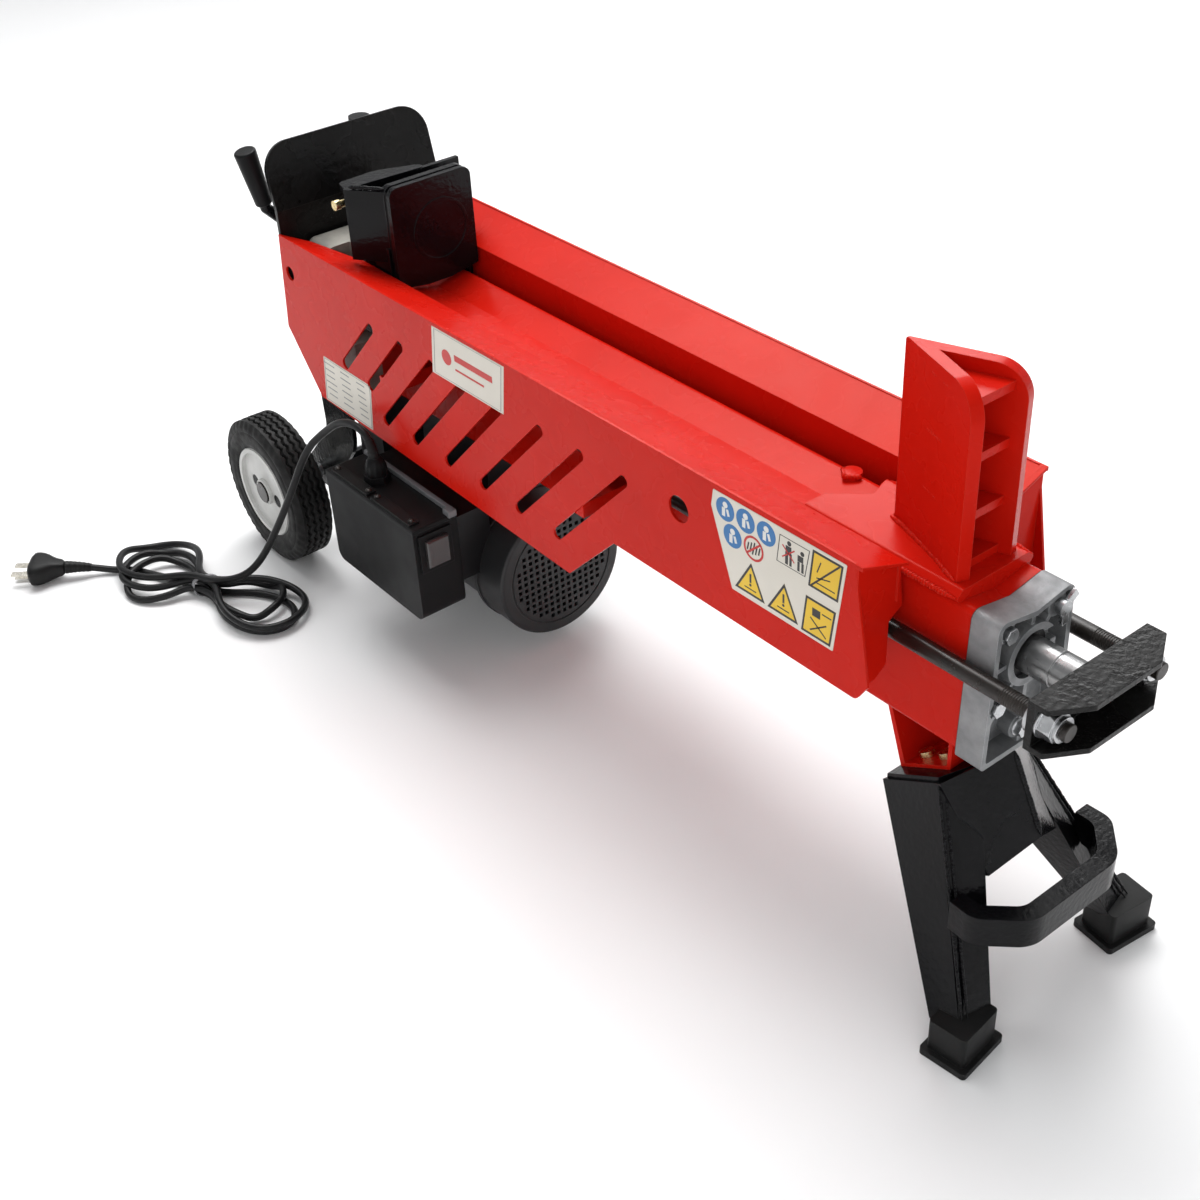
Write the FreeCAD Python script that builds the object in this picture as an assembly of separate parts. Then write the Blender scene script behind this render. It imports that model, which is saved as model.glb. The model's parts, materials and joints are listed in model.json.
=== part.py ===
import FreeCAD, Part
import math
import os

# Electric hydraulic log splitter, short-log size, all lengths in mm.
# The working axis of the ram is +X, up is +Z, and the origin is on the floor under the
# middle of the machine. Stations along the beam are counted from the rear edge of the
# side panels, and MID is the station that lands on the origin.
MID = 355.0

LOG_LENGTH = 520.0            # pusher face to wedge edge, ram home
STROKE = 390.0
PUSH_FACE = 120.0             # station of the pusher face
WEDGE_EDGE = PUSH_FACE + LOG_LENGTH
RAM_Z = 262.0                 # height of the cylinder and of both tie rods
ROD_R = 12.5
TIE_R = 6.0
TIE_Y = 43.0

BEAM_REAR, BEAM_FRONT = 62.0, 735.0
BEAM_TOP, BEAM_LOW = 300.0, 190.0
BEAM_HALF_TOP, BEAM_HALF_LOW = 33.0, 36.0
WALL = 3.0

PANEL_LENGTH = 686.0
PANEL_Y = 84.4                # outer face of a side panel
PANEL_TOP = 332.0
SHEET = 2.0

WHEEL_R = 72.0
WHEEL_X = -38.0
WHEEL_Y = 110.0               # middle of the tyre
TYRE_WIDTH = 38.0
AXLE_R = 7.0

MOTOR_R = 64.0
MOTOR_Z = 78.0
MOTOR_REAR, MOTOR_FRONT = 62.0, 266.0

V = FreeCAD.Vector
AXES = {"x": V(1, 0, 0), "y": V(0, 1, 0), "z": V(0, 0, 1)}
parts = {}


def slab(x0, x1, y0, y1, z0, z1):
    return Part.makeBox(x1 - x0, y1 - y0, z1 - z0, V(x0, y0, z0))


def rod(axis, centre, radius, length):
    """A cylinder that starts at centre and runs along +axis."""
    return Part.makeCylinder(radius, length, V(*centre), AXES[axis])


def tube(axis, centre, outer, inner, length):
    return rod(axis, centre, outer, length).cut(rod(axis, centre, inner, length))


def place(axis, a, b, at):
    """A point of an outline: (y, z) for x, (x, z) for y and (x, y) for z."""
    if axis == "x":
        return V(at, a, b)
    if axis == "y":
        return V(a, at, b)
    return V(a, b, at)


def outline(axis, corners, at):
    """A closed face from corners (a, b) or (a, b, radius), rounded where a radius is given."""
    pts = [place(axis, c[0], c[1], at) for c in corners]
    edges, last, first = [], None, None
    for i, p in enumerate(pts):
        r = corners[i][2] if len(corners[i]) > 2 else 0
        back, ahead = pts[i - 1] - p, pts[(i + 1) % len(pts)] - p
        if r:
            half = back.getAngle(ahead) / 2
            reach = r / math.tan(half)
            t0 = p + V(back).normalize() * reach
            t1 = p + V(ahead).normalize() * reach
            bis = (V(back).normalize() + V(ahead).normalize()).normalize()
            mid = p + bis * (r / math.sin(half) - r)
        else:
            t0 = t1 = p
        if last is not None and last.distanceToPoint(t0) > 1e-6:
            edges.append(Part.LineSegment(last, t0).toShape())
        if r:
            edges.append(Part.Arc(t0, mid, t1).toShape())
        if first is None:
            first = t0
        last = t1
    if last.distanceToPoint(first) > 1e-6:
        edges.append(Part.LineSegment(last, first).toShape())
    return Part.Face(Part.Wire(edges))


def prism(axis, corners, start, end):
    return outline(axis, corners, start).extrude(AXES[axis] * (end - start))


def mirror(shape):
    """The same piece on the other side of the machine."""
    return shape.mirror(V(0, 0, 0), V(0, 1, 0))


def both(shape):
    return shape.fuse(mirror(shape))


def join(shapes):
    return shapes[0].multiFuse(shapes[1:]) if len(shapes) > 1 else shapes[0]


def drill(shape, holes):
    return shape.cut(join(holes)) if holes else shape


def soften(shape, radius, pick):
    edges = [e for e in shape.Edges if pick(e)]
    return shape.makeFillet(radius, edges) if edges else shape


def along(edge, axis):
    """True for a straight edge parallel to an axis."""
    if not isinstance(edge.Curve, (Part.Line, Part.LineSegment)):
        return False
    d = edge.tangentAt(edge.FirstParameter)
    return abs(abs(d.dot(AXES[axis])) - 1) < 1e-6


def hexagon(axis, centre, across, length):
    """A hexagon bar from centre along +axis, across its flats."""
    r = across / math.sqrt(3)
    base = {"x": (centre[1], centre[2]), "y": (centre[0], centre[2]), "z": (centre[0], centre[1])}[axis]
    at = {"x": centre[0], "y": centre[1], "z": centre[2]}[axis]
    ring = [(base[0] + r * math.cos(math.radians(60 * i)), base[1] + r * math.sin(math.radians(60 * i)))
            for i in range(6)]
    return prism(axis, ring, at, at + length)


def save(name, shape):
    parts[name] = shape


# --- Beam: the oil tank, with the cylinder inside it -------------------------------------
def beam_section(inset=0.0):
    """(y, z) corners of the beam: a shallow trough on top, sides that widen downwards."""
    top, low, i = BEAM_HALF_TOP, BEAM_HALF_LOW, inset
    r = max(5.0 - i, 1.0)
    return [(-top + i, BEAM_TOP - i, r), (0, BEAM_TOP - 6 - i), (top - i, BEAM_TOP - i, r),
            (low - i, BEAM_LOW + i, r), (-low + i, BEAM_LOW + i, r)]


beam = prism("x", beam_section(), BEAM_REAR, BEAM_FRONT)
beam = beam.fuse(rod("z", (577, 27, BEAM_TOP - 9), 7, 11))
beam = beam.cut(prism("x", beam_section(WALL), BEAM_REAR + WALL, BEAM_FRONT))
save("beam_tank", beam)

# The cylinder stands in the oil, from a spigot on the tank's rear wall to the end cover.
CYL_REAR, CYL_R, BORE_R = 296.0, 26.0, 22.0
cylinder = tube("x", (CYL_REAR, 0, RAM_Z), CYL_R, BORE_R, BEAM_FRONT - CYL_REAR)
cylinder = cylinder.fuse(rod("x", (CYL_REAR - 8, 0, RAM_Z), CYL_R, 8))
cylinder = cylinder.fuse(rod("x", (BEAM_REAR + WALL, 0, RAM_Z), 9, CYL_REAR - BEAM_REAR - WALL - 8))
save("cylinder", cylinder)

# --- End cover: aluminium casting with ribbed pockets and a boss round the rod -----------
COVER_BACK, COVER_FACE = BEAM_FRONT + 1.0, 757.0


def cover_section(inset=0.0):
    top, low, i = 35.0, 38.0, inset
    r = max(7.0 - i, 1.5)
    return [(-top + i, BEAM_TOP + 1 - i, r), (0, BEAM_TOP - 5 - i), (top - i, BEAM_TOP + 1 - i, r),
            (low - i, BEAM_LOW - 2 + i, 3), (-low + i, BEAM_LOW - 2 + i, 3)]


cover = prism("x", cover_section(), COVER_BACK, COVER_FACE)
pocket = prism("x", cover_section(4.0), COVER_BACK + 7, COVER_FACE)
ribs = [slab(COVER_BACK + 5, COVER_FACE - 2, -1.5, 1.5, BEAM_LOW, BEAM_TOP - 6)]
for turn in (38, 90, 142, 218, 322):
    web = slab(COVER_BACK + 5, COVER_FACE - 2, -1.5, 1.5, RAM_Z, RAM_Z + 110)
    web.rotate(V(0, 0, RAM_Z), V(1, 0, 0), turn)
    ribs.append(web)
cover = cover.cut(pocket).fuse(join(ribs).common(prism("x", cover_section(1.0), COVER_BACK, COVER_FACE)))
cover = cover.fuse(rod("x", (COVER_BACK, 0, RAM_Z), 22, COVER_FACE - COVER_BACK))
BOLT_SPOTS = [(-24, 288), (-28, 234), (28, 234), (0, 203)]
bosses = [rod("x", (COVER_BACK, y, z), 8.5, COVER_FACE - COVER_BACK - 4) for y, z in BOLT_SPOTS]
cover = cover.fuse(join(bosses).common(prism("x", cover_section(), COVER_BACK, COVER_FACE)))
notch = slab(COVER_FACE - 6, COVER_FACE + 1, 6, 30, RAM_Z + 4, RAM_Z + 14)
notch.rotate(V(0, 0, RAM_Z), V(1, 0, 0), -4)
BLEED_Y, BLEED_Z = 22.0, 288.0
holes = [rod("x", (COVER_BACK - 1, 0, RAM_Z), ROD_R + 4.5, 40), notch]
for y, z in BOLT_SPOTS:
    holes += [rod("x", (COVER_BACK - 1, y, z), 3.3, 40), rod("x", (COVER_FACE - 4, y, z), 7, 8)]
cover = cover.fuse(rod("x", (COVER_BACK, BLEED_Y, BLEED_Z), 8.5, COVER_FACE - COVER_BACK - 2).common(
    prism("x", cover_section(), COVER_BACK, COVER_FACE)))
holes.append(rod("x", (COVER_FACE - 12, BLEED_Y, BLEED_Z), 3.05, 20))
save("end_cover", drill(cover, holes))

gasket = prism("x", cover_section(0.8), BEAM_FRONT, COVER_BACK)
gasket = drill(gasket, [prism("x", beam_section(WALL), BEAM_FRONT - 1, COVER_BACK + 1)])
save("cover_gasket", gasket.fuse(tube("x", (BEAM_FRONT, 0, RAM_Z), CYL_R - 1, ROD_R + 5, 1)))

seal = tube("x", (COVER_BACK, 0, RAM_Z), ROD_R + 4.5, ROD_R + 0.05, COVER_FACE - COVER_BACK - 4)
save("rod_seal", seal)

heads = []
for y, z in BOLT_SPOTS:
    heads += [rod("x", (COVER_FACE - 4, y, z), 6.5, 1.2), hexagon("x", (COVER_FACE - 2.8, y, z), 10, 5)]
    heads.append(rod("x", (COVER_BACK + 1, y, z), 3.3, COVER_FACE - COVER_BACK - 5))
bolt_sets = [join(heads[i:i + 3]) for i in range(0, len(heads), 3)]
save("cover_bolts", Part.makeCompound(bolt_sets))

# --- Saddle and wedge ---------------------------------------------------------------------
SADDLE_REAR, SADDLE_FRONT, SADDLE_TOP = 590.0, 724.0, 307.0
saddle = prism("x", [(-33, BEAM_TOP - 1), (0, BEAM_TOP - 7), (33, BEAM_TOP - 1), (35.5, BEAM_TOP + 2, 2),
                     (30, SADDLE_TOP, 3), (-30, SADDLE_TOP, 3), (-35.5, BEAM_TOP + 2, 2)],
               SADDLE_REAR, SADDLE_FRONT)
swallow = prism("z", [(SADDLE_REAR - 1, -14), (SADDLE_REAR + 22, 10), (SADDLE_REAR + 12, 40),
                      (SADDLE_REAR - 1, 40)], BEAM_TOP - 10, SADDLE_TOP + 1)
saddle = saddle.cut(swallow).cut(prism("x", beam_section(), SADDLE_REAR - 1, SADDLE_FRONT + 1))
save("saddle_plate", saddle)

WEDGE_TOP, WEDGE_BACK, WEDGE_HALF = 435.0, 716.0, 27.5
flare = math.atan2(WEDGE_HALF, WEDGE_BACK - WEDGE_EDGE)
blade_long = (WEDGE_BACK - WEDGE_EDGE) / math.cos(flare)
side = prism("y", [(WEDGE_EDGE, SADDLE_TOP), (WEDGE_EDGE + blade_long, SADDLE_TOP),
                   (WEDGE_EDGE + blade_long, WEDGE_TOP, 22), (WEDGE_EDGE, WEDGE_TOP, 3)], -9, 0)
near = side.copy()
near.translate(V(0, 9, 0))
near.rotate(V(WEDGE_EDGE, 0, 0), V(0, 0, 1), -math.degrees(flare))
near = near.common(slab(WEDGE_EDGE - 5, WEDGE_BACK + 9, -60, 0, SADDLE_TOP, WEDGE_TOP + 1))
blade = near.fuse(mirror(near)).removeSplitter()
save("wedge_blade", blade)
web_shape = [(WEDGE_EDGE + 26, -3), (WEDGE_BACK - 5, -WEDGE_HALF + 8), (WEDGE_BACK - 5, WEDGE_HALF - 8),
             (WEDGE_EDGE + 26, 3)]
webs = [prism("z", web_shape, z, z + 6).cut(blade) for z in (SADDLE_TOP, 342.0, 382.0, 420.0)]
save("wedge_ribs", Part.makeCompound(webs))

# --- Side panels: folded sheet with a sloping top flange, its edge turned down, and a bent front flap ---
FLANGE_IN, FLANGE_Z = 43.5, 317.0
SLOT_STATIONS = [138, 183, 228, 273, 321, 370, 418, 467]
SLOT_HIGH, SLOT_LOW = 291.0, 208.0


def slot(x_top, z_low):
    """One slanted round-ended slot, running down and back at 45 degrees."""
    drop = SLOT_HIGH - z_low
    cut = join([slab(0, drop * math.sqrt(2), -100, -70, -4.8, 4.8),
                rod("y", (0, -100, 0), 4.8, 30), rod("y", (drop * math.sqrt(2), -100, 0), 4.8, 30)])
    cut.rotate(V(0, 0, 0), V(0, 1, 0), 135)
    cut.translate(V(x_top, 0, SLOT_HIGH))
    return cut


side_face = [(0, PANEL_TOP), (PANEL_LENGTH, PANEL_TOP), (701, 247, 4), (692, 233, 6), (453, 233),
             (396, 178), (33, 187), (-11, 242)]
panel = prism("y", side_face, -PANEL_Y, -PANEL_Y + SHEET)
slots = [slot(x, z) for x, z in zip(SLOT_STATIONS, [240, 234] + [SLOT_LOW] * 6)]
panel = drill(panel, slots)
panel = drill(panel, [rod("y", (10, -90, 299), 6.5, 12), rod("y", (526, -90, 296), 10, 12)])
flange = prism("x", [(-PANEL_Y, PANEL_TOP), (-FLANGE_IN, FLANGE_Z), (-FLANGE_IN, FLANGE_Z - SHEET),
                     (-PANEL_Y + SHEET, PANEL_TOP - SHEET - 0.7), (-PANEL_Y, PANEL_TOP - SHEET - 1)],
               0, 692)
flange = flange.cut(prism("z", [(-5, -86), (-5, -40), (66, -40), (66, -46), (18, -62)], 300, 340))
RETURN_LOW = 286.0
fold = slab(66, 686, -FLANGE_IN - SHEET, -FLANGE_IN, RETURN_LOW, FLANGE_Z - 0.5)
flap = prism("x", [(-PANEL_Y, PANEL_TOP), (-FLANGE_IN, FLANGE_Z), (-37.5, 279, 2), (-51, 273, 2),
                   (-51, 240, 3), (-62, 234), (-PANEL_Y, 234)], 687, 687 + SHEET)
flap.rotate(V(687, -PANEL_Y, 282), V(0, 0, 1), 6)
shell = panel.fuse(flange).fuse(fold).fuse(flap)
save("side_panel_left", mirror(shell))
save("side_panel_right", shell)

# Each panel hangs on three short red stand-offs welded to the beam under the tie rod.
stubs = []
for x in (140.0, 400.0, 640.0):
    arm = slab(x, x + 16, -PANEL_Y + SHEET, -30, 236, 248).cut(prism("x", beam_section(), x - 1, x + 17))
    stubs.append(arm)
save("panel_brackets", Part.makeCompound(stubs + [mirror(s) for s in stubs]))

# --- Rear end: cast valve housing, guard hood and breather --------------------------------
housing = slab(4, BEAM_REAR, -60, 60, 176, 322)
housing = soften(housing, 8, lambda e: along(e, "x"))
housing = housing.cut(slab(36, 63, -61, -36.5, 240, 330)).cut(slab(36, 63, 36.5, 61, 240, 330))
SPOOL_Y, SPOOL_Z = -52.0, 300.0
housing = housing.cut(rod("x", (0, SPOOL_Y, SPOOL_Z), 6.05, 40))
save("valve_housing", housing)
pump = prism("x", [(-46, 176), (46, 176), (46, 60, 26), (24, 34, 20), (-24, 34, 20), (-46, 60, 26)],
             20, BEAM_REAR)
save("pump_housing", pump.cut(rod("x", (30, 0, MOTOR_Z), 21, 60)))

hood_low = prism("x", [(-82, 262), (-82, 352), (82, 352), (82, 262)], -4, 0)
hood_top = prism("x", [(-82, 350), (-82, 406, 26), (82, 406, 26), (82, 350)], -4, 0)
hood_top.rotate(V(-4, 0, 352), V(0, 1, 0), -14)
hood = hood_low.fuse(hood_top)
hood = hood.fuse(join([slab(-4, 4, -44, -32, 264, 318), slab(-4, 4, 32, 44, 264, 318)]))
hood = hood.cut(slab(-60, 40, SPOOL_Y - 9, SPOOL_Y + 9, SPOOL_Z - 11, SPOOL_Z + 11))
save("rear_hood", hood.removeSplitter())
breather = join([rod("z", (-22, 22, 322), 6, 70), rod("z", (-22, 22, 386), 9.5, 18),
                 slab(-26, 4, 16, 28, 296, 322)])
save("breather", breather.cut(hood))

# --- Hand lever, pivoted on a lug of the housing and pushing the valve spool ---------------
LEVER_X, LEVER_Y, LEVER_Z = -24.0, -52.0, 262.0
lug = slab(-34, 4, LEVER_Y + 6.5, LEVER_Y + 12, 250, 274)
lug = lug.cut(rod("y", (LEVER_X, LEVER_Y, LEVER_Z), 4.05, 20))
save("lever_lug", lug.fuse(slab(-8, 4, LEVER_Y + 6.5, LEVER_Y + 22, 250, 274)).cut(hood))
GRIP_LOW, GRIP_HIGH = V(-24, -80, 348), V(-24, -90, 398)
arm = join([rod("y", (LEVER_X, LEVER_Y - 3, LEVER_Z), 9, 8),
            slab(-30, -18, LEVER_Y - 3, LEVER_Y + 2, LEVER_Z, 322),
            rod("y", (LEVER_X, LEVER_Y + 5, LEVER_Z), 4, 8)])
rise = GRIP_LOW - V(-24, LEVER_Y, 318)
arm = arm.fuse(Part.makeCylinder(5, rise.Length, V(-24, LEVER_Y, 318), rise))
grip_run = GRIP_HIGH - GRIP_LOW
arm = arm.fuse(Part.makeSphere(5, GRIP_LOW)).fuse(Part.makeCylinder(5, 46, GRIP_LOW, grip_run))
save("lever_arm", arm.removeSplitter())
grip = Part.makeCone(7.5, 9.8, grip_run.Length, GRIP_LOW + V(grip_run).normalize() * 4, grip_run)
grip = soften(grip, 2, lambda e: isinstance(e.Curve, Part.Circle))
save("lever_grip", grip.cut(arm))
save("valve_spool", rod("x", (-15.5, SPOOL_Y, SPOOL_Z), 6, 47.5))

# --- Ram: piston rod, crosshead, tie rods and pusher ----------------------------------------
HEAD_REAR = 797.0
piston_rod = rod("x", (322, 0, RAM_Z), ROD_R, HEAD_REAR - 322).fuse(rod("x", (305, 0, RAM_Z), BORE_R - 0.06, 22))
groove = tube("x", (778, 0, RAM_Z), ROD_R + 1, ROD_R - 0.7, 1.6)
save("piston_rod", piston_rod.cut(groove))

LIP_HIGH, LIP_LOW, HEAD_HALF = 280.0, 244.0, 55.0
lip = [(HEAD_REAR, -HEAD_HALF, 2), (HEAD_REAR + 14, -HEAD_HALF, 2), (HEAD_REAR + 29, -30, 3),
       (HEAD_REAR + 29, 30, 3), (HEAD_REAR + 14, HEAD_HALF, 2), (HEAD_REAR, HEAD_HALF, 2)]
head = slab(HEAD_REAR, HEAD_REAR + 5, -HEAD_HALF, HEAD_HALF, LIP_LOW, LIP_HIGH)
head = head.fuse(prism("z", lip, LIP_HIGH - 4, LIP_HIGH)).fuse(prism("z", lip, LIP_LOW, LIP_LOW + 4))
tie_holes = [rod("x", (HEAD_REAR - 1, s * TIE_Y, RAM_Z), TIE_R, 8) for s in (-1, 1)]
save("crosshead", drill(head.removeSplitter(), tie_holes))

TIE_END = 820.0
long_rod = rod("x", (70, -TIE_Y, RAM_Z), TIE_R, TIE_END - 70)
grooves = [tube("x", (x, -TIE_Y, RAM_Z), TIE_R + 0.5, TIE_R - 0.45, 0.9)
           for x in [772 + 1.75 * k for k in range(11)]]
long_rod = soften(drill(long_rod, grooves), 0.8, lambda e: e.BoundBox.XMin > TIE_END - 0.1)
save("tie_rods", Part.makeCompound([long_rod, mirror(long_rod)]))
nut = hexagon("x", (HEAD_REAR + 6.5, -TIE_Y, RAM_Z), 19, 9).common(
    Part.makeCone(11.6, 10.2, 9, V(HEAD_REAR + 6.5, -TIE_Y, RAM_Z), AXES["x"]))
collar = rod("x", (HEAD_REAR + 14, -TIE_Y, RAM_Z), 8.6, 4.5)
washer = rod("x", (HEAD_REAR + 5, -TIE_Y, RAM_Z), 11.5, 1.5)
inner = rod("x", (HEAD_REAR - 2.5, -TIE_Y, RAM_Z), 12, 2.5)
nuts = join([nut, collar, washer]).cut(rod("x", (HEAD_REAR, -TIE_Y, RAM_Z), TIE_R, 30))
inner = inner.cut(rod("x", (HEAD_REAR - 5, -TIE_Y, RAM_Z), TIE_R, 30))
save("tie_rod_nuts", Part.makeCompound([nuts, inner, mirror(nuts), mirror(inner)]))

PUSH_TOP = 389.0


def push_plate(half, top, x0, x1):
    """One layer of the pusher head, its lower edge following the trough of the beam."""
    return prism("x", [(-half, 306), (-12, 301.5), (12, 301.5), (half, 306), (half, top, 8), (-half, top, 8)],
                 x0, x1)


head_layers = [push_plate(40, PUSH_TOP + 3, PUSH_FACE - 5, PUSH_FACE),
               push_plate(38.5, PUSH_TOP + 1.5, PUSH_FACE - 9, PUSH_FACE - 4),
               push_plate(40, PUSH_TOP + 3, PUSH_FACE - 14, PUSH_FACE - 8)]
pusher = join(head_layers).fuse(tube("x", (PUSH_FACE - 1, 6, 346), 27, 24.5, 1.8))
wing = prism("z", [(PUSH_FACE - 12, -34), (PUSH_FACE - 7, -38.5), (82, -60), (77, -56)], 327, PUSH_TOP - 1)
wing_low = slab(88, PUSH_FACE - 8, -42, -34, 306, 339)
wing_far = mirror(prism("z", [(PUSH_FACE - 12, -34), (PUSH_FACE - 7, -38.5), (82, -60), (77, -56)], 338, 375))
top_web = prism("z", [(81, -58), (85, 20, 4), (76, 16, 8), (62, -18, 30), (64, -54, 6)],
                PUSH_TOP - 6, PUSH_TOP - 1.5)
shelf = slab(75, PUSH_FACE - 12, -34, 34, PUSH_TOP - 14, PUSH_TOP - 9)
cross = slab(76.5, 81, -55, 55, 341, PUSH_TOP - 4)
skirt = slab(67, 109, -40.5, -37, 250, 346)
pusher = pusher.multiFuse([wing, wing_low, wing_far, top_web, shelf, cross, skirt, mirror(skirt)])
save("pusher", drill(pusher, [rod("x", (60, s * TIE_Y, RAM_Z), TIE_R, 60) for s in (-1, 1)]))
lugs = slab(66, 100, -51, -37.2, 253, 271).cut(slab(60, 110, -40.5, -37, 240, 345))
lugs = soften(lugs, 3, lambda e: along(e, "x") and e.BoundBox.YMax < -50)
lugs = lugs.cut(rod("x", (60, -TIE_Y, RAM_Z), TIE_R, 60))
save("pusher_lugs", Part.makeCompound([lugs, mirror(lugs)]))
save("pusher_pin", rod("y", (70, -64, 372), 4.2, 5).fuse(rod("y", (70, -60, 372), 3, 6)))

# --- Front stand: a folded stand tilted forward, hung on a red bracket under the beam --------
TILT = math.tan(math.radians(30))


def stand_z(x):
    """Height of the sloping face where the stand meets its bracket."""
    return 133.0 + (x - 680.0) * TILT


def on_slope(points, lift=0.0):
    return Part.makePolygon([V(x, y, stand_z(x) + lift) for x, y in points + points[:1]])


def flat_ring(points, z):
    return Part.makePolygon([V(x, y, z) for x, y in points + points[:1]])


LEG_END = 24.0
leg_outside = Part.makeLoft([on_slope([(680, -40), (726, -40), (741, -16), (690, -14)]),
                             flat_ring([(781, -95), (801, -89), (806, -63), (786, -61)], LEG_END)], True, True)
leg_hollow = Part.makeLoft([on_slope([(675, -37), (722, -37), (736, -18), (675, -17)], 1),
                            flat_ring([(775, -92), (798, -86), (802, -66), (775, -64)], LEG_END - 1)], True, True)
leg = leg_outside.cut(leg_hollow)
save("leg_right", leg)
save("leg_left", mirror(leg))


def strip(top, low, back):
    """A flat sheet between two edges, thickened along the vector back."""
    rings = [Part.makePolygon([a, b, b + back, a + back, a]) for a, b in (top, low)]
    return Part.makeLoft(rings, True, True)


gusset = strip((V(728.5, -40.5, 161), V(753, 0, 183)), (V(770, -34, 105), V(782, 0, 127)), V(-3, 0, -2))
gusset = gusset.fuse(mirror(gusset)).cut(leg).cut(mirror(leg))
cap = Part.Face(on_slope([(682, -38), (725, -38), (747, 0), (725, 38), (682, 38)])).extrude(V(0, 0, 4))
cap = cap.cut(leg).cut(mirror(leg)).cut(gusset)

bracket = prism("y", [(667, BEAM_LOW), (725, BEAM_LOW), (725, stand_z(725) + 4), (684, stand_z(684) + 4)], -27, 27)
bracket = bracket.cut(prism("y", [(670, BEAM_LOW + 1), (722, BEAM_LOW + 1), (722, stand_z(722) + 7),
                                  (687, stand_z(687) + 7)], -30, 24))
slope_up = V(-math.sin(math.radians(30)), 0, math.cos(math.radians(30)))
bolts = []
for x, y in ((696, -14), (712, -14), (696, 14), (712, 14)):
    seat = V(x, y, stand_z(x) + 7)
    bolts.append(Part.makeCylinder(5.5, 4, seat, slope_up).fuse(Part.makeCylinder(3, 3.4, seat - slope_up * 3.4,
                                                                                   slope_up)))
save("leg_bolts", Part.makeCompound(bolts))
save("leg_bracket", drill(bracket, bolts))
save("leg_gusset", drill(gusset.fuse(cap), bolts))

loop_out = [(762, -69), (788, -70, 16), (815, -42, 24), (815, 42, 24), (788, 70, 16), (762, 69)]
loop_in = [(750, -57), (783, -57, 10), (802, -37, 14), (802, 37, 14), (783, 57, 10), (750, 57)]
handle = prism("z", loop_out, 80, 104).cut(prism("z", loop_in, 79, 105))
handle = handle.cut(Part.makeLoft([on_slope([(640, -40), (726, -40), (747, -8), (640, -8)]),
                                   flat_ring([(740, -95), (801, -89), (806, -63), (740, -61)], LEG_END)],
                                  True, True))
handle = handle.common(slab(768, 830, -100, 0, 70, 120))
handle = handle.cut(slab(803, 820, -40, -27, 85, 99).cut(slab(803, 815, -40, -27, 80, 100)))
handle = handle.fuse(mirror(handle)).removeSplitter()
save("carry_handle", handle)

# The boots turn with the legs, whose section is not square to the beam.
BOOT_TURN, BOOT_MIDDLE = 7.0, V(798, -81, 0)
boot = prism("z", [(783, -100, 3), (812, -100, 3), (812, -62, 3), (783, -62, 3)], 3, 31)
flange_pad = prism("z", [(780, -104, 3), (816, -104, 3), (816, -58, 3), (780, -58, 3)], 0, 5)
boot = boot.fuse(flange_pad)
boot.rotate(BOOT_MIDDLE, AXES["z"], BOOT_TURN)
boot = boot.cut(leg_outside)
save("foot_right", boot)
save("foot_left", mirror(boot))

# --- Wheels: rubber tyres on spoked discs, turning on one fixed axle ---------------------------
cheek = prism("y", [(-10, 190), (44, 190), (40, 128, 30), (4, 84, 20), (-24, 58, 8), (-52, 58, 8),
                    (-52, 84, 8), (-8, 128, 30)], -64.5, -60.5)
cheek = cheek.fuse(slab(4, 16, -62, -58, 176, 190)).cut(slab(4, 16, -60, -50, 170, 200))
bar = slab(-30, -24, -60.5, 60.5, 62, 84)
bracket_pair = both(cheek.cut(rod("y", (WHEEL_X, -70, WHEEL_R), AXLE_R, 20))).fuse(bar)
save("wheel_bracket", bracket_pair)
save("axle", rod("y", (WHEEL_X, -126, WHEEL_R), AXLE_R, 252))
clip = rod("y", (WHEEL_X, -129, WHEEL_R), 10, 3)
save("axle_caps", Part.makeCompound([clip, mirror(clip)]))

IN, OUT = WHEEL_Y - TYRE_WIDTH / 2, WHEEL_Y + TYRE_WIDTH / 2
profile = [(-OUT, 44), (-OUT, 60, 10), (-OUT + 7, WHEEL_R, 7), (-IN - 7, WHEEL_R, 7), (-IN, 60, 10), (-IN, 44)]
tyre = outline("x", profile, 0).revolve(V(0, 0, 0), V(0, 1, 0), 360)
for y in (-OUT + 12, -WHEEL_Y, -IN - 12):
    tyre = tyre.cut(tube("y", (0, y - 1.1, 0), WHEEL_R + 2, WHEEL_R - 2.5, 2.2))
tyre.translate(V(WHEEL_X, 0, WHEEL_R))
save("tyre_right", tyre)
save("tyre_left", mirror(tyre))
hub = tube("y", (0, -OUT + 1, 0), 44, 40, TYRE_WIDTH - 4)
hub = hub.fuse(rod("y", (0, -OUT + 5, 0), 41, 4)).fuse(rod("y", (0, -OUT + 3.2, 0), 13, TYRE_WIDTH - 3.2))
hub = hub.cut(rod("y", (0, -OUT, 0), AXLE_R + 0.06, TYRE_WIDTH + 2))
hub = drill(hub, [rod("y", (s * 20, -OUT, 0), 6.5, 12) for s in (-1, 1)])
hub.rotate(V(0, 0, 0), V(0, 1, 0), 8)
hub.translate(V(WHEEL_X, 0, WHEEL_R))
save("hub_right", hub)
save("hub_left", mirror(hub))

# --- Electric motor, shaft along the beam ---------------------------------------------------------
def on_motor(x, radius, length, y=0.0):
    return rod("x", (x, y, MOTOR_Z), radius, length)


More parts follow.
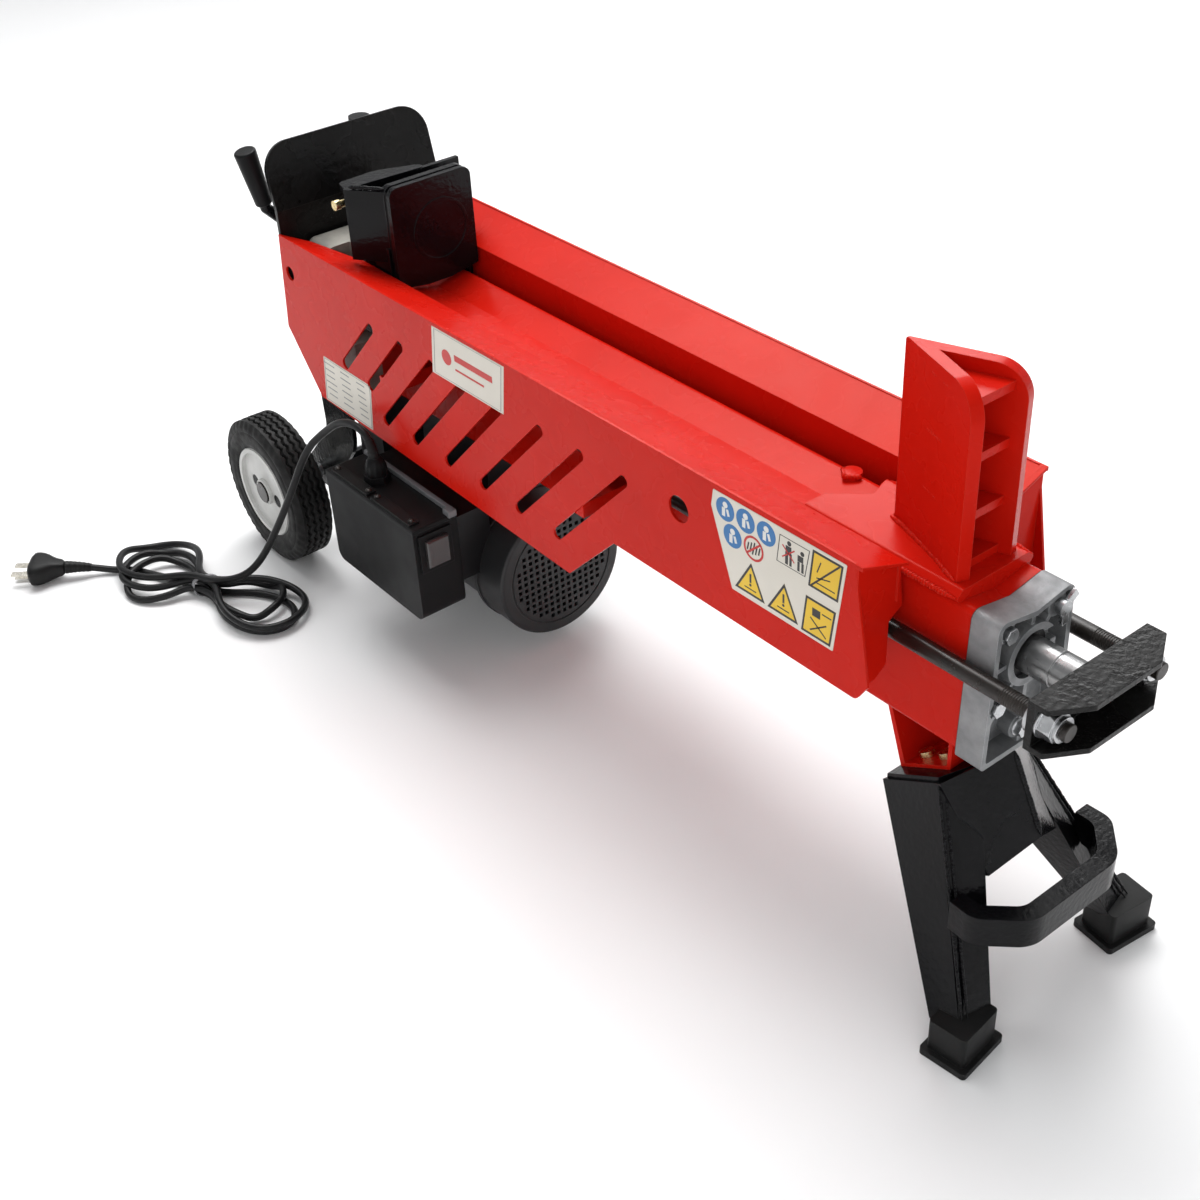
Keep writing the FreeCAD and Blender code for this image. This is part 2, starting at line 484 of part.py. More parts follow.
body = on_motor(MOTOR_REAR, 60, 176).cut(on_motor(MOTOR_REAR + 8, 54, 160)).cut(on_motor(60, 8.06, 190))
body = body.fuse(on_motor(MOTOR_REAR, 61.5, 9).cut(on_motor(60, 54, 20)))
pad = slab(99, 233, -81, -48, 86, 150).cut(on_motor(60, 58, 200)).cut(slab(107, 225, -76, -40, 94, 142))
body = body.fuse(pad)
hanger = slab(100, 200, -24, 24, 130, 190).cut(on_motor(60, 58, 200)).cut(slab(104, 196, -20, 20, 120, 186))
save("motor_body", body.fuse(hanger))
guard = on_motor(226, MOTOR_R, MOTOR_FRONT - 226).cut(on_motor(225, MOTOR_R - 2.2, MOTOR_FRONT - 227.5))
guard = soften(guard, 3, lambda e: e.BoundBox.XMin > MOTOR_FRONT - 0.1)
guard = guard.cut(tube("x", (MOTOR_FRONT - 1, 0, MOTOR_Z), 53.5, 51.5, 3))
PITCH, HOLE = 6.4, 3.8
grid = []
for i in range(-8, 9):
    for j in range(-8, 9):
        y, z = i * PITCH, MOTOR_Z + j * PITCH
        if math.hypot(i * PITCH, j * PITCH) < 47:
            grid.append(slab(MOTOR_FRONT - 5, MOTOR_FRONT + 2, y - HOLE / 2, y + HOLE / 2,
                             z - HOLE / 2, z + HOLE / 2))
guard = guard.cut(Part.makeCompound(grid))
guard = guard.fuse(tube("x", (226, 0, MOTOR_Z), MOTOR_R + 1.2, MOTOR_R - 1, 4))
save("fan_cover", guard.cut(body))
rotor = on_motor(32, 8, 224).fuse(on_motor(92, 44, 112)).fuse(on_motor(32, 18, 20))
save("rotor", rotor)
blades = [slab(240, 255, -1, 1, MOTOR_Z + 10, MOTOR_Z + 52) for _ in range(9)]
for k, b in enumerate(blades):
    b.rotate(V(0, 0, MOTOR_Z), V(1, 0, 0), 40 * k)
fan = join([on_motor(239, 14, 15)] + blades).fuse(on_motor(239, 50, 2)).cut(on_motor(230, 8, 40))
save("cooling_fan", fan)

# --- Switch box with its lid, gland and covered switch ---------------------------------------------
BX0, BX1, BY0, BY1, BZ0, BZ1 = 97.0, 235.0, -125.0, -81.0, 62.0, 152.0
case = prism("y", [(BX0, BZ0 + 2, 9), (BX1, BZ0 + 2, 9), (BX1, BZ1), (BX0, BZ1)], BY0, BY1)
case = case.cut(prism("y", [(BX0 + 3, BZ0 + 5, 6), (BX1 - 3, BZ0 + 5, 6), (BX1 - 3, BZ1 + 1), (BX0 + 3, BZ1 + 1)],
                      BY0 + 3, BY1 - 3))
case = case.cut(slab(BX1 - 4, BX1 + 1, -118, -92, 116, 146))
save("switch_box", case)
lid = slab(BX0, BX1, BY0, BY1, BZ1, BZ1 + 4)
lid = soften(lid, 1.5, lambda e: e.BoundBox.ZMin > BZ1 + 3.9)
lid = lid.fuse(slab(104, 162, -123, -113, BZ1 + 4, BZ1 + 6.5)).fuse(slab(168, 228, -123, -113, BZ1 + 4, BZ1 + 6.5))
lid = lid.fuse(slab(103, 229, -86, -82, BZ1 + 4, BZ1 + 8))
GX, GY = 145.0, -101.0
save("switch_box_lid", lid.cut(rod("z", (GX, GY, BZ1 - 1), 6, 12)))
gland = hexagon("z", (GX, GY, BZ1 + 4), 20, 7).fuse(rod("z", (GX, GY, BZ1 - 4), 6, 8))
gland = gland.fuse(Part.makeCone(8.5, 5.5, 10, V(GX, GY, BZ1 + 11)))
GLAND_TOP = BZ1 + 21
frame = slab(BX1 - 3, BX1 + 2.5, -121, -89, 113, 149).cut(slab(BX1 - 4, BX1 + 4, -116, -94, 118, 144))
frame = frame.cut(case)
save("switch_frame", frame)
button = slab(BX1 - 8, BX1 + 7, -115.8, -94.2, 118.2, 143.8)
button = soften(button, 2, lambda e: e.BoundBox.XMin > BX1 + 6.9)
save("switch_button", button)

# --- Labels: plain stickers with no lettering --------------------------------------------------------
STICK = 0.25


def sticker(corners):
    return prism("y", corners, -PANEL_Y - STICK, -PANEL_Y)


badge = sticker([(231, 287, 2), (326, 287, 2), (332, 329, 2), (237, 329, 2)])
save("badge", badge.cut(join(slots)))
save("spec_plate", sticker([(41, 188, 1), (119, 188, 1), (126, 233.5, 1), (48, 233.5, 1)]).cut(join(slots)))
save("hazard_decal", sticker([(561, 328, 1), (680, 328, 1), (671, 259, 1), (579, 259, 1), (559, 315, 1)]))

# --- Bleed screw beside the rod -----------------------------------------------------------------------
screw = rod("x", (COVER_FACE - 11, BLEED_Y, BLEED_Z), 3, 14).fuse(rod("x", (COVER_FACE, BLEED_Y, BLEED_Z), 5.5, 5))
for turn in (35, -80):
    wing_tab = slab(COVER_FACE + 1.5, COVER_FACE + 4, BLEED_Y + 3, BLEED_Y + 13, BLEED_Z - 3, BLEED_Z + 3)
    wing_tab.rotate(V(0, BLEED_Y, BLEED_Z), V(1, 0, 0), turn)
    screw = screw.fuse(wing_tab)
save("bleed_screw", screw)

# --- Mains lead: gland, arc over the wheel, tied hank on the floor, plug -------------------------------
CORD_R = 3.4


def lead(points):
    """Straight runs joined by tangent arcs, swept with the cord's round section."""
    edges, start, radii = [], points[0], []
    for i in range(1, len(points) - 1):
        p = points[i]
        back, ahead = points[i - 1] - p, points[i + 1] - p
        half = back.getAngle(ahead) / 2
        reach = 0.45 * min(back.Length, ahead.Length)
        radius = reach * math.tan(half)
        t0, t1 = p + V(back).normalize() * reach, p + V(ahead).normalize() * reach
        bis = (V(back).normalize() + V(ahead).normalize()).normalize()
        mid = p + bis * (radius / math.sin(half) - radius)
        edges += [Part.LineSegment(start, t0).toShape(), Part.Arc(t0, mid, t1).toShape()]
        radii.append(round(radius, 1))
        start = t1
    edges.append(Part.LineSegment(start, points[-1]).toShape())
    path = Part.Wire(edges)
    ring = Part.Wire(Part.makeCircle(CORD_R, points[0], points[1] - points[0]))
    solid = path.makePipeShell([ring], True, False)
    share = solid.Volume / (path.Length * math.pi * CORD_R ** 2)
    print("cord run", round(path.Length), "bend radii", radii, "volume ratio", round(share, 3))
    return solid


FEED = [V(GX, GY, GLAND_TOP - 2), V(144, GY, 192), V(128, -102, 203), V(104, -105, 202), V(80, -110, 182),
        V(56, -121, 160), V(46, -138, 114), V(32, -148, 80), V(12, -160, 34), V(-6, -176, 22), V(-8, -200, 16)]
TAIL = [V(-104, -246, 8), V(-116, -260, 4.2), V(-128, -274, 7), V(-137, -290, 12)]
feed, tail = lead(FEED), lead(TAIL)
save("cable_gland", gland.cut(feed))

HANK_LOW, HANK_TOP = 0.4, 20.0
left_lobe = [(-22, -198, 6), (-54, -184, 24), (-104, -180, 30), (-138, -196, 18), (-140, -232, 20),
             (-112, -262, 24), (-66, -270, 26), (-30, -250, 10), (-22, -220, 4)]
right_lobe = [(-22, -198, 4), (0, -158, 16), (34, -141, 24), (70, -143, 24), (92, -164, 18), (92, -190, 16),
              (66, -206, 20), (24, -213, 30), (-22, -220, 4)]
hank = prism("z", left_lobe, HANK_LOW, HANK_TOP).fuse(prism("z", right_lobe, HANK_LOW, HANK_TOP)).removeSplitter()
save("power_cord", Part.makeCompound([feed.cut(hank), tail.cut(hank)]))
tie = slab(-26, -18, -222, -196, 0.2, 22).cut(slab(-27, -17, -220.4, -197.6, 0.1, 20.4))
save("cord_hank", hank.cut(tie))
save("cord_tie", tie.cut(hank).cut(feed))

# The plug lies on its flat face. PLUG_AT is the middle of its neck and the pins point away from the cord.
PLUG_AT, PLUG_TURN = V(-143, -300, 12), -126.9
plug = prism("z", [(0, -8), (8, -9, 8), (20, -19, 6), (28, -19, 3), (31, -14), (31, 14), (28, 19, 3), (20, 19, 6),
                   (8, 9, 8), (0, 8)], -11, 12)
plug = plug.fuse(Part.makeCone(4.6, 7.5, 18, V(-17, 0, 0), AXES["x"]))
pins = [slab(31, 49, w - 3.2, w + 3.2, h - 0.8, h + 0.8) for w, h in ((-7.5, 0), (7.5, 0), (0, -8))]
plug_pieces = [plug] + pins
for piece in plug_pieces:
    piece.rotate(V(0, 0, 0), AXES["z"], PLUG_TURN)
    piece.translate(PLUG_AT)
save("plug", plug.cut(tail))
save("plug_pins", Part.makeCompound(pins))

# --- Write every piece, moved so that the origin is under the middle -----------------------------------
os.makedirs("parts", exist_ok=True)
for name, shape in parts.items():
    shape = shape.copy()
    shape.translate(V(-MID, 0, 0))
    if not shape.isValid():
        print("check", name)
    shape.exportStep("parts/" + name + ".step")
print(len(parts), "pieces")
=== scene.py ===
# %% [markdown]
# # An electric log splitter, dressed for its portrait
# The machine arrives as a finished mechanical model: every panel, rod and wheel is in its place and can move.
# Blender adds what a drawing leaves out: the paint, the welds, the rubber, the mains lead and the light.
# Nothing mechanical is moved or resized here, so each new piece is placed by the same drawing stations.

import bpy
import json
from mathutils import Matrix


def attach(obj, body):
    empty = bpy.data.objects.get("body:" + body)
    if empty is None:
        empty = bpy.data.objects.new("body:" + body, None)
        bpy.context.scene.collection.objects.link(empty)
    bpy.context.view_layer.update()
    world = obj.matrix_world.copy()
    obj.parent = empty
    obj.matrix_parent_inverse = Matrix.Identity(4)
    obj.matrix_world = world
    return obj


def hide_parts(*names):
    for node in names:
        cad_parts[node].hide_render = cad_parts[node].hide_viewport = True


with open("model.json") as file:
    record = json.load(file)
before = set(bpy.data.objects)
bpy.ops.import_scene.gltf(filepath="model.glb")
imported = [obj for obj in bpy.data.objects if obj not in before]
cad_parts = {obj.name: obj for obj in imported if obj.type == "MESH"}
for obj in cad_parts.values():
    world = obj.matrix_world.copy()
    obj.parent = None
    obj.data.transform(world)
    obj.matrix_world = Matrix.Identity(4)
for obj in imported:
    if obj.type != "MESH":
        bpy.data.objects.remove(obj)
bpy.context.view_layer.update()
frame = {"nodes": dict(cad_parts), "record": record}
print("nodes in the frame:", len(frame["nodes"]))

# %% Stations
import json
from math import cos, radians, sin, sqrt, tau

import bmesh
import bpy
from mathutils import Matrix, Vector, noise

REAR_STATION = 355.0    # the scene's origin, measured from the rear edge of the side panels


def at(x, y, z):
    """A drawing station in millimetres, as a place in the scene in metres."""
    return Vector((x - REAR_STATION, y, z)) / 1000


print("wedge foot:", at(640, 0, 307))

# %% [markdown]
# ## The camera
# A camera is a point, a direction and a lens. Its three axes are worked out from an azimuth round the machine,
# an elevation above the floor and a slight roll, which is easier to reason about than three Euler angles.

# %% Camera
AZIMUTH, ELEVATION, ROLL = radians(53.342), radians(35.451), radians(-3.421)
CAMERA_PLACE = Vector((0.876, -0.6786, 0.881))
LENS_MM = 49.09
NEAREST_SEEN = 0.02

back = Vector((sin(AZIMUTH) * cos(ELEVATION), -cos(AZIMUTH) * cos(ELEVATION), sin(ELEVATION)))
level_right = Vector((cos(AZIMUTH), sin(AZIMUTH), 0))
level_up = back.cross(level_right)
right = cos(ROLL) * level_right + sin(ROLL) * level_up
up = cos(ROLL) * level_up - sin(ROLL) * level_right

camera_data = bpy.data.cameras.new("portrait_camera")
camera_data.lens = LENS_MM
camera_data.clip_start = NEAREST_SEEN
camera = bpy.data.objects.new("portrait_camera", camera_data)
bpy.context.scene.collection.objects.link(camera)
camera.matrix_world = Matrix.Translation(CAMERA_PLACE) @ Matrix((right, up, back)).transposed().to_4x4()
bpy.context.scene.camera = camera
print("camera stands", round(CAMERA_PLACE.length, 2), "m from the machine's middle")

# %% [markdown]
# ## Making pieces
# A piece is a mesh, a name, the body that carries it, and a finish. One small function does that bookkeeping, so
# each later cell is only about shape. It smooths the shading up to an angle and, where asked, rounds the edges.

# %% Add a piece
SMOOTH_UP_TO = radians(38)
EDGE_SEGMENTS = 3


def add_piece(name, bm, body, material, rounding=0.0):
    """Turns a bmesh into a named piece that rides on a body. rounding is the edge radius in millimetres."""
    mesh = bpy.data.meshes.new(name)
    bmesh.ops.recalc_face_normals(bm, faces=bm.faces)
    bm.to_mesh(mesh)
    bm.free()
    for face in mesh.polygons:
        face.use_smooth = True
    mesh.set_sharp_from_angle(angle=SMOOTH_UP_TO)
    mesh.materials.append(material)
    thing = bpy.data.objects.new(name, mesh)
    bpy.context.scene.collection.objects.link(thing)
    if rounding:
        soften = thing.modifiers.new("rounded edges", "BEVEL")
        soften.width = rounding / 1000
        soften.segments = EDGE_SEGMENTS
        soften.limit_method = "ANGLE"
        soften.harden_normals = True
    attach(thing, body)
    return thing


# %% Sweep a round section along a line
def sweep(points, radius_at, around=14):
    """A bmesh skin round a line of points. radius_at(part, angle) gives the radius for a part of the way, 0 to 1."""
    bm = bmesh.new()
    heading = (points[1] - points[0]).normalized()
    side = heading.orthogonal().normalized()
    rings = []
    for i, point in enumerate(points):
        ahead = points[min(i + 1, len(points) - 1)] - points[max(i - 1, 0)]
        heading = ahead.normalized()
        side = (side - heading * side.dot(heading)).normalized()
        other = heading.cross(side)
        part = i / (len(points) - 1)
        ring = []
        for j in range(around):
            angle = tau * j / around
            radius = radius_at(part, angle)
            ring.append(bm.verts.new(point + radius * (cos(angle) * side + sin(angle) * other)))
        rings.append(ring)
    for low, high in zip(rings, rings[1:]):
        for j in range(around):
            k = (j + 1) % around
            bm.faces.new((low[j], low[k], high[k], high[j]))
    bm.faces.new(reversed(rings[0]))
    bm.faces.new(rings[-1])
    return bm


# %% Spin a profile about an axis
def spin(profile, centre, axis="Y", steps=64, shift=None):
    """A bmesh turned like a pot. profile holds (along the axis, radius) in millimetres, and is closed on itself."""
    bm = bmesh.new()
    rings = []
    for i in range(steps):
        angle = tau * i / steps
        ring = []
        for along, radius in profile:
            if shift:
                radius = radius + shift(along, radius, angle)
            flat = {"Y": (radius * cos(angle), along, radius * sin(angle)),
                    "X": (along, radius * cos(angle), radius * sin(angle)),
                    "Z": (radius * cos(angle), radius * sin(angle), along)}[axis]
            ring.append(bm.verts.new(centre + Vector(flat) / 1000))
        rings.append(ring)
    for i in range(steps):
        near, far = rings[i], rings[(i + 1) % steps]
        for j in range(len(profile)):
            k = (j + 1) % len(profile)
            bm.faces.new((near[j], near[k], far[k], far[j]))
    bmesh.ops.remove_doubles(bm, verts=bm.verts, dist=1e-6)
    return bm


print("helpers ready: add_piece, sweep, spin; edges smooth up to", round(SMOOTH_UP_TO, 2), "rad")

# %% [markdown]
# ## Finishes
# Every finish is worked out by nodes from the object's own coordinates, so it has the right scale in metres and no
# picture file. One function lays down what all hard surfaces share: a faint mottle in the colour, a fine grain as
# bump, a slow change of roughness, edges rounded in the shading, and a painted highlight along those edges.

# %% The finish builder
def wire(tree, source, target):
    tree.links.new(source, target)


def noise_node(tree, coordinate, scale, detail=3.0, stretch=None):
    """A noise of so many grains per metre, stretched along an axis if asked."""
    node = tree.nodes.new("ShaderNodeTexNoise")
    node.inputs["Scale"].default_value = scale
    node.inputs["Detail"].default_value = detail
    if stretch:
        squeeze = tree.nodes.new("ShaderNodeMapping")
        squeeze.inputs["Scale"].default_value = stretch
        wire(tree, coordinate, squeeze.inputs["Vector"])
        coordinate = squeeze.outputs["Vector"]
    wire(tree, coordinate, node.inputs["Vector"])
    return node


def ramp_node(tree, factor, stops):
    """A colour ramp with (position, colour) stops."""
    node = tree.nodes.new("ShaderNodeValToRGB")
    ramp = node.color_ramp
    ramp.elements[0].position, ramp.elements[1].position = stops[0][0], stops[-1][0]
    ramp.elements[0].color = (*stops[0][1], 1)
    ramp.elements[1].color = (*stops[-1][1], 1)
    for position, colour in stops[1:-1]:
        ramp.elements.new(position).color = (*colour, 1)
    wire(tree, factor, node.inputs["Fac"])
    return node


def finish(name, tones, rough, grain, height, mottle=14, metal=0.0, edge=None, edge_mm=0.7, stretch=None, **sockets):
    """A hard surface: tones are its dark and light colour, rough its lowest and highest roughness, grain its bumps
    per metre and height their depth in millimetres. Other shader sockets are set by name."""
    material = bpy.data.materials.new(name)
    material.use_nodes = True
    tree = material.node_tree
    shader = tree.nodes["Principled BSDF"]
    shader.inputs["Metallic"].default_value = metal
    for socket, value in sockets.items():
        shader.inputs[socket.replace("_", " ")].default_value = value
    place = tree.nodes.new("ShaderNodeTexCoord").outputs["Object"]

    cloud = noise_node(tree, place, mottle, 4.0)
    colour = ramp_node(tree, cloud.outputs["Fac"], [(0.32, tones[0]), (0.68, tones[1])]).outputs["Color"]
    rounded = tree.nodes.new("ShaderNodeBevel")
    rounded.samples = 4
    rounded.inputs["Radius"].default_value = edge_mm / 1000
    # Painted highlight: where the rounded normal turns away from the face, the colour is mixed towards the lighter
    # edge colour.
    if edge:
        turned = tree.nodes.new("ShaderNodeVectorMath")
        turned.operation = "DOT_PRODUCT"
        wire(tree, rounded.outputs["Normal"], turned.inputs[0])
        wire(tree, tree.nodes.new("ShaderNodeNewGeometry").outputs["Normal"], turned.inputs[1])
        edge_highlight_mask = tree.nodes.new("ShaderNodeMapRange")
        edge_highlight_mask.inputs["From Min"].default_value, edge_highlight_mask.inputs["From Max"].default_value = 0.985, 0.90
        edge_highlight_mask.inputs["To Min"].default_value, edge_highlight_mask.inputs["To Max"].default_value = 0.0, 0.7
        wire(tree, turned.outputs["Value"], edge_highlight_mask.inputs["Value"])
        blend = tree.nodes.new("ShaderNodeMix")
        blend.data_type = "RGBA"
        blend.inputs[7].default_value = (*edge, 1)
        wire(tree, edge_highlight_mask.outputs["Result"], blend.inputs[0])
        wire(tree, colour, blend.inputs[6])
        colour = blend.outputs[2]
    wire(tree, colour, shader.inputs["Base Color"])

    haze = noise_node(tree, place, mottle * 2.7, 2.0, stretch)
    spread = tree.nodes.new("ShaderNodeMapRange")
    spread.inputs["From Min"].default_value, spread.inputs["From Max"].default_value = 0.3, 0.7
    spread.inputs["To Min"].default_value, spread.inputs["To Max"].default_value = rough
    wire(tree, haze.outputs["Fac"], spread.inputs["Value"])
    wire(tree, spread.outputs["Result"], shader.inputs["Roughness"])

    skin = noise_node(tree, place, grain, 2.0, stretch)
    bump = tree.nodes.new("ShaderNodeBump")
    bump.inputs["Distance"].default_value = height / 1000
    wire(tree, skin.outputs["Fac"], bump.inputs["Height"])
    wire(tree, rounded.outputs["Normal"], bump.inputs["Normal"])
    wire(tree, bump.outputs["Normal"], shader.inputs["Normal"])
    return material


# %% [markdown]
# ### Paint
# The body is powder coated: a bright red skin that flows a little before it sets, so it has a soft orange peel and
# a clear gloss. The legs and handle are gloss black over rougher steel. The tail plate has a wrinkle black.

# %% Paints
# The edge colour of each paint is a painted highlight, lighter than the paint itself.
red_paint = finish("red_powder_coat", ((0.54, 0.0085, 0.0032), (0.59, 0.0100, 0.0038)), (0.24, 0.30), 190, 0.05,
                   edge=(0.68, 0.045, 0.026), Specular_IOR_Level=0.12, Specular_Tint=(1.0, 0.42, 0.30, 1.0))
black_paint = finish("gloss_black_paint", ((0.003, 0.003, 0.0035), (0.006, 0.006, 0.007)), (0.14, 0.24), 260, 0.28,
                     edge=(0.02, 0.02, 0.022), Specular_IOR_Level=0.18)
wrinkle_black = finish("wrinkle_black_paint", ((0.004, 0.004, 0.004), (0.010, 0.0095, 0.009)), (0.20, 0.34), 200,
                       0.45, edge=(0.03, 0.03, 0.03), Specular_IOR_Level=0.18)
motor_black = finish("motor_black_paint", ((0.006, 0.006, 0.007), (0.012, 0.012, 0.013)), (0.30, 0.44), 700, 0.08,
                     edge=(0.03, 0.03, 0.03), Specular_IOR_Level=0.25)

# %% [markdown]
# ### Metals
# The end cover and valve body are aluminium castings, grey and slightly pitted from the mould. Bolts and nuts are
# bright zinc, two of them yellow. The rods are ground steel, so their grain runs round them.

# %% Metals
# The edge colour of each metal is a painted highlight, lighter than its tones.
cast_alloy = finish("raw_cast_aluminium", ((0.19, 0.195, 0.20), (0.31, 0.315, 0.32)), (0.46, 0.62), 950, 0.25,
                    mottle=60, metal=0.5, edge=(0.5, 0.51, 0.53))
grey_casting = finish("sand_casting", ((0.30, 0.29, 0.26), (0.46, 0.44, 0.39)), (0.5, 0.7), 800, 0.30, mottle=50,
                      metal=0.25, edge=(0.6, 0.58, 0.52))
zinc = finish("bright_zinc", ((0.42, 0.43, 0.44), (0.60, 0.61, 0.62)), (0.24, 0.40), 1500, 0.05, mottle=120,
              metal=1.0, edge=(0.9, 0.9, 0.92))
yellow_zinc = finish("yellow_zinc", ((0.55, 0.40, 0.16), (0.78, 0.66, 0.38)), (0.2, 0.38), 1500, 0.05, mottle=160,
                     metal=1.0, edge=(0.9, 0.85, 0.7))
ground_steel = finish("ground_steel", ((0.26, 0.26, 0.26), (0.40, 0.40, 0.40)), (0.26, 0.40), 420, 0.03, mottle=40,
                      metal=1.0, stretch=(12, 1, 1), edge=(0.85, 0.85, 0.85))
oiled_steel = finish("oiled_black_rod", ((0.008, 0.0065, 0.0055), (0.022, 0.017, 0.014)), (0.24, 0.36), 900, 0.03,
                     mottle=30, metal=0.2, edge=(0.08, 0.07, 0.06))
pin_metal = finish("nickelled_brass", ((0.55, 0.52, 0.45), (0.70, 0.67, 0.60)), (0.2, 0.34), 1500, 0.03, mottle=200,
                   metal=1.0)

# %% [markdown]
# ### Rubber and plastic
# Rubber is nearly black and scatters light widely. Moulded plastic has a fine spark-eroded grain and a soft sheen.
# The switch has a smoky clear boot, so its shader lets light through.

# %% Rubbers and plastics
# The edge colours here are painted highlights, a little lighter than the rubber or plastic.
black_rubber = finish("black_rubber", ((0.005, 0.005, 0.005), (0.010, 0.010, 0.010)), (0.40, 0.54), 900, 0.08,
                      edge=(0.03, 0.03, 0.03), Specular_IOR_Level=0.20)
lead_rubber = finish("lead_jacket", ((0.006, 0.006, 0.0065), (0.012, 0.012, 0.0125)), (0.30, 0.42), 1200, 0.03,
                     mottle=40, Specular_IOR_Level=0.22)
tyre_rubber = finish("tyre_rubber", ((0.006, 0.006, 0.006), (0.017, 0.0165, 0.016)), (0.5, 0.72), 700, 0.15,
                     mottle=45, edge=(0.03, 0.03, 0.029), Specular_IOR_Level=0.20)
black_plastic = finish("grained_black_plastic", ((0.005, 0.005, 0.0055), (0.010, 0.010, 0.0105)), (0.34, 0.46), 1100,
                       0.08, edge=(0.035, 0.035, 0.037), Specular_IOR_Level=0.12)
fan_plastic = finish("fan_cover_plastic", ((0.010, 0.010, 0.011), (0.018, 0.018, 0.019)), (0.40, 0.52), 900, 0.08,
                     edge=(0.05, 0.05, 0.05), Specular_IOR_Level=0.4)
hub_plastic = finish("light_hub_plastic", ((0.52, 0.52, 0.50), (0.66, 0.66, 0.64)), (0.34, 0.5), 800, 0.06,
                     mottle=35, edge=(0.75, 0.75, 0.74))
rail_plastic = finish("light_lid_rail", ((0.10, 0.10, 0.105), (0.16, 0.16, 0.168)), (0.3, 0.45), 900, 0.05)
clear_boot = finish("smoky_boot", ((0.030, 0.028, 0.028), (0.060, 0.055, 0.055)), (0.12, 0.25), 500, 0.05,
                    Transmission_Weight=0.25, Coat_Weight=0.5)
label_film = finish("label_film", ((0.66, 0.62, 0.54), (0.72, 0.68, 0.60)), (0.30, 0.42), 600, 0.02,
                    Coat_Weight=0.2)
gasket_fibre = finish("gasket_fibre", ((0.02, 0.02, 0.02), (0.05, 0.05, 0.045)), (0.6, 0.8), 1500, 0.1)
tie_plastic = finish("grey_tie", ((0.16, 0.16, 0.17), (0.26, 0.26, 0.27)), (0.35, 0.5), 900, 0.05)

# %% Dress every node of the frame
SLOT_FINISH = {
    "red_paint": red_paint, "black_paint": black_paint, "cast_alloy": cast_alloy, "grey_casting": grey_casting,
    "zinc": zinc, "yellow_zinc": yellow_zinc, "ground_steel": ground_steel, "dark_steel": oiled_steel,
    "black_rubber": black_rubber, "tyre_rubber": tyre_rubber, "hub_plastic": hub_plastic,
    "black_plastic": black_plastic, "clear_boot": clear_boot, "paper_label": label_film,
    "gasket_fibre": gasket_fibre, "tie_grey": tie_plastic, "pin_brass": pin_metal}
OWN_FINISH = {"rear_hood": wrinkle_black, "crosshead": wrinkle_black, "motor_body": motor_black,
              "pump_housing": motor_black, "fan_cover": fan_plastic, "axle_caps": oiled_steel}

dressed = 0
for subpart in frame["record"]["subparts"]:
    node = frame["nodes"][subpart["node"]]
    coat = OWN_FINISH.get(subpart["node"], SLOT_FINISH[subpart["material_slot"]])
    node.data.materials.clear()
    node.data.materials.append(coat)
    dressed += 1
print("nodes dressed:", dressed)

# %% [markdown]
# ## The mains lead
# The lead climbs out of the gland on the switch box, bows over towards the wheel, drops to the floor and goes into
# a hank of three loose turns pinched by a tie, and ends in its plug. It is one NURBS curve: a smooth line pulled
# towards control points, which bends as rubber does. The free runs are given as listed points.

# %% Route of the free runs
LEAD_RADIUS = 3.4
FEED = [(145, -101, 171), (144, -101, 193), (124, -102, 202), (100, -105, 197), (78, -110, 180), (57, -121, 157),
        (46, -138, 113), (33, -150, 78), (20, -168, 40), (10, -186, 24)]
TAIL = [(-54, -222, 6), (-79, -234, 4), (-104, -246, 4), (-116, -260, 4), (-128, -274, 7), (-136, -289, 11.5),
        (-142, -298.5, 12)]

# %% [markdown]
# A hank turn is a long lobe to the left of the tie and one to the right. A loop works out the turns: each lobe is
# an egg-shaped sweep about the tie with its own reach, width and turn, so that the turns fan out a little, and the
# passes through the tie lie in a round bundle, as cords do when they are squeezed together.

# %% Turns of the hank
TIE = (-22, -209)
HANK_TURN = radians(20)
HALF_TIE = 13
LOBE_STARTS, LOBE_ENDS = 76, 284
LOBE_POINTS = 8
TURNS = [((112, 37, 192), (111, 36, 21)), ((98, 35, 200), (82, 28, 27)), ((84, 34, 210), (106, 27, 17))]
PASS_OFFSETS = [-3.5, 3.5, 0, 7, -7, 3.5, -3.5]


def lobe(reach, half, turn):
    """Plan points of one lobe: out from the tie along its turn and back, widest past the middle."""
    a = radians(turn)
    points = []
    for j in range(LOBE_POINTS):
        t = radians(LOBE_STARTS + (LOBE_ENDS - LOBE_STARTS) * j / (LOBE_POINTS - 1))
        along = reach * (1 - cos(t)) / 2
        aside = 1.3 * half * sin(t) * sin(t / 2)
        points.append((TIE[0] + along * cos(a) - aside * sin(a), TIE[1] + along * sin(a) + aside * cos(a)))
    return points


def tie_pass(offset, leftwards):
    """Two plan points that carry the lead through the tie, along the hank's own direction."""
    c, s = cos(HANK_TURN), sin(HANK_TURN)
    middle_x, middle_y = TIE[0] - offset * s, TIE[1] + offset * c
    ends = [(middle_x + HALF_TIE * c, middle_y + HALF_TIE * s), (middle_x - HALF_TIE * c, middle_y - HALF_TIE * s)]
    return ends if leftwards else ends[::-1]


hank = []
for turn, (left, right_lobe) in enumerate(TURNS):
    hank += tie_pass(PASS_OFFSETS[2 * turn], True) + lobe(*left)
    hank += tie_pass(PASS_OFFSETS[2 * turn + 1], False) + lobe(*right_lobe)
hank += tie_pass(PASS_OFFSETS[-1], True)
print("hank points:", len(hank))

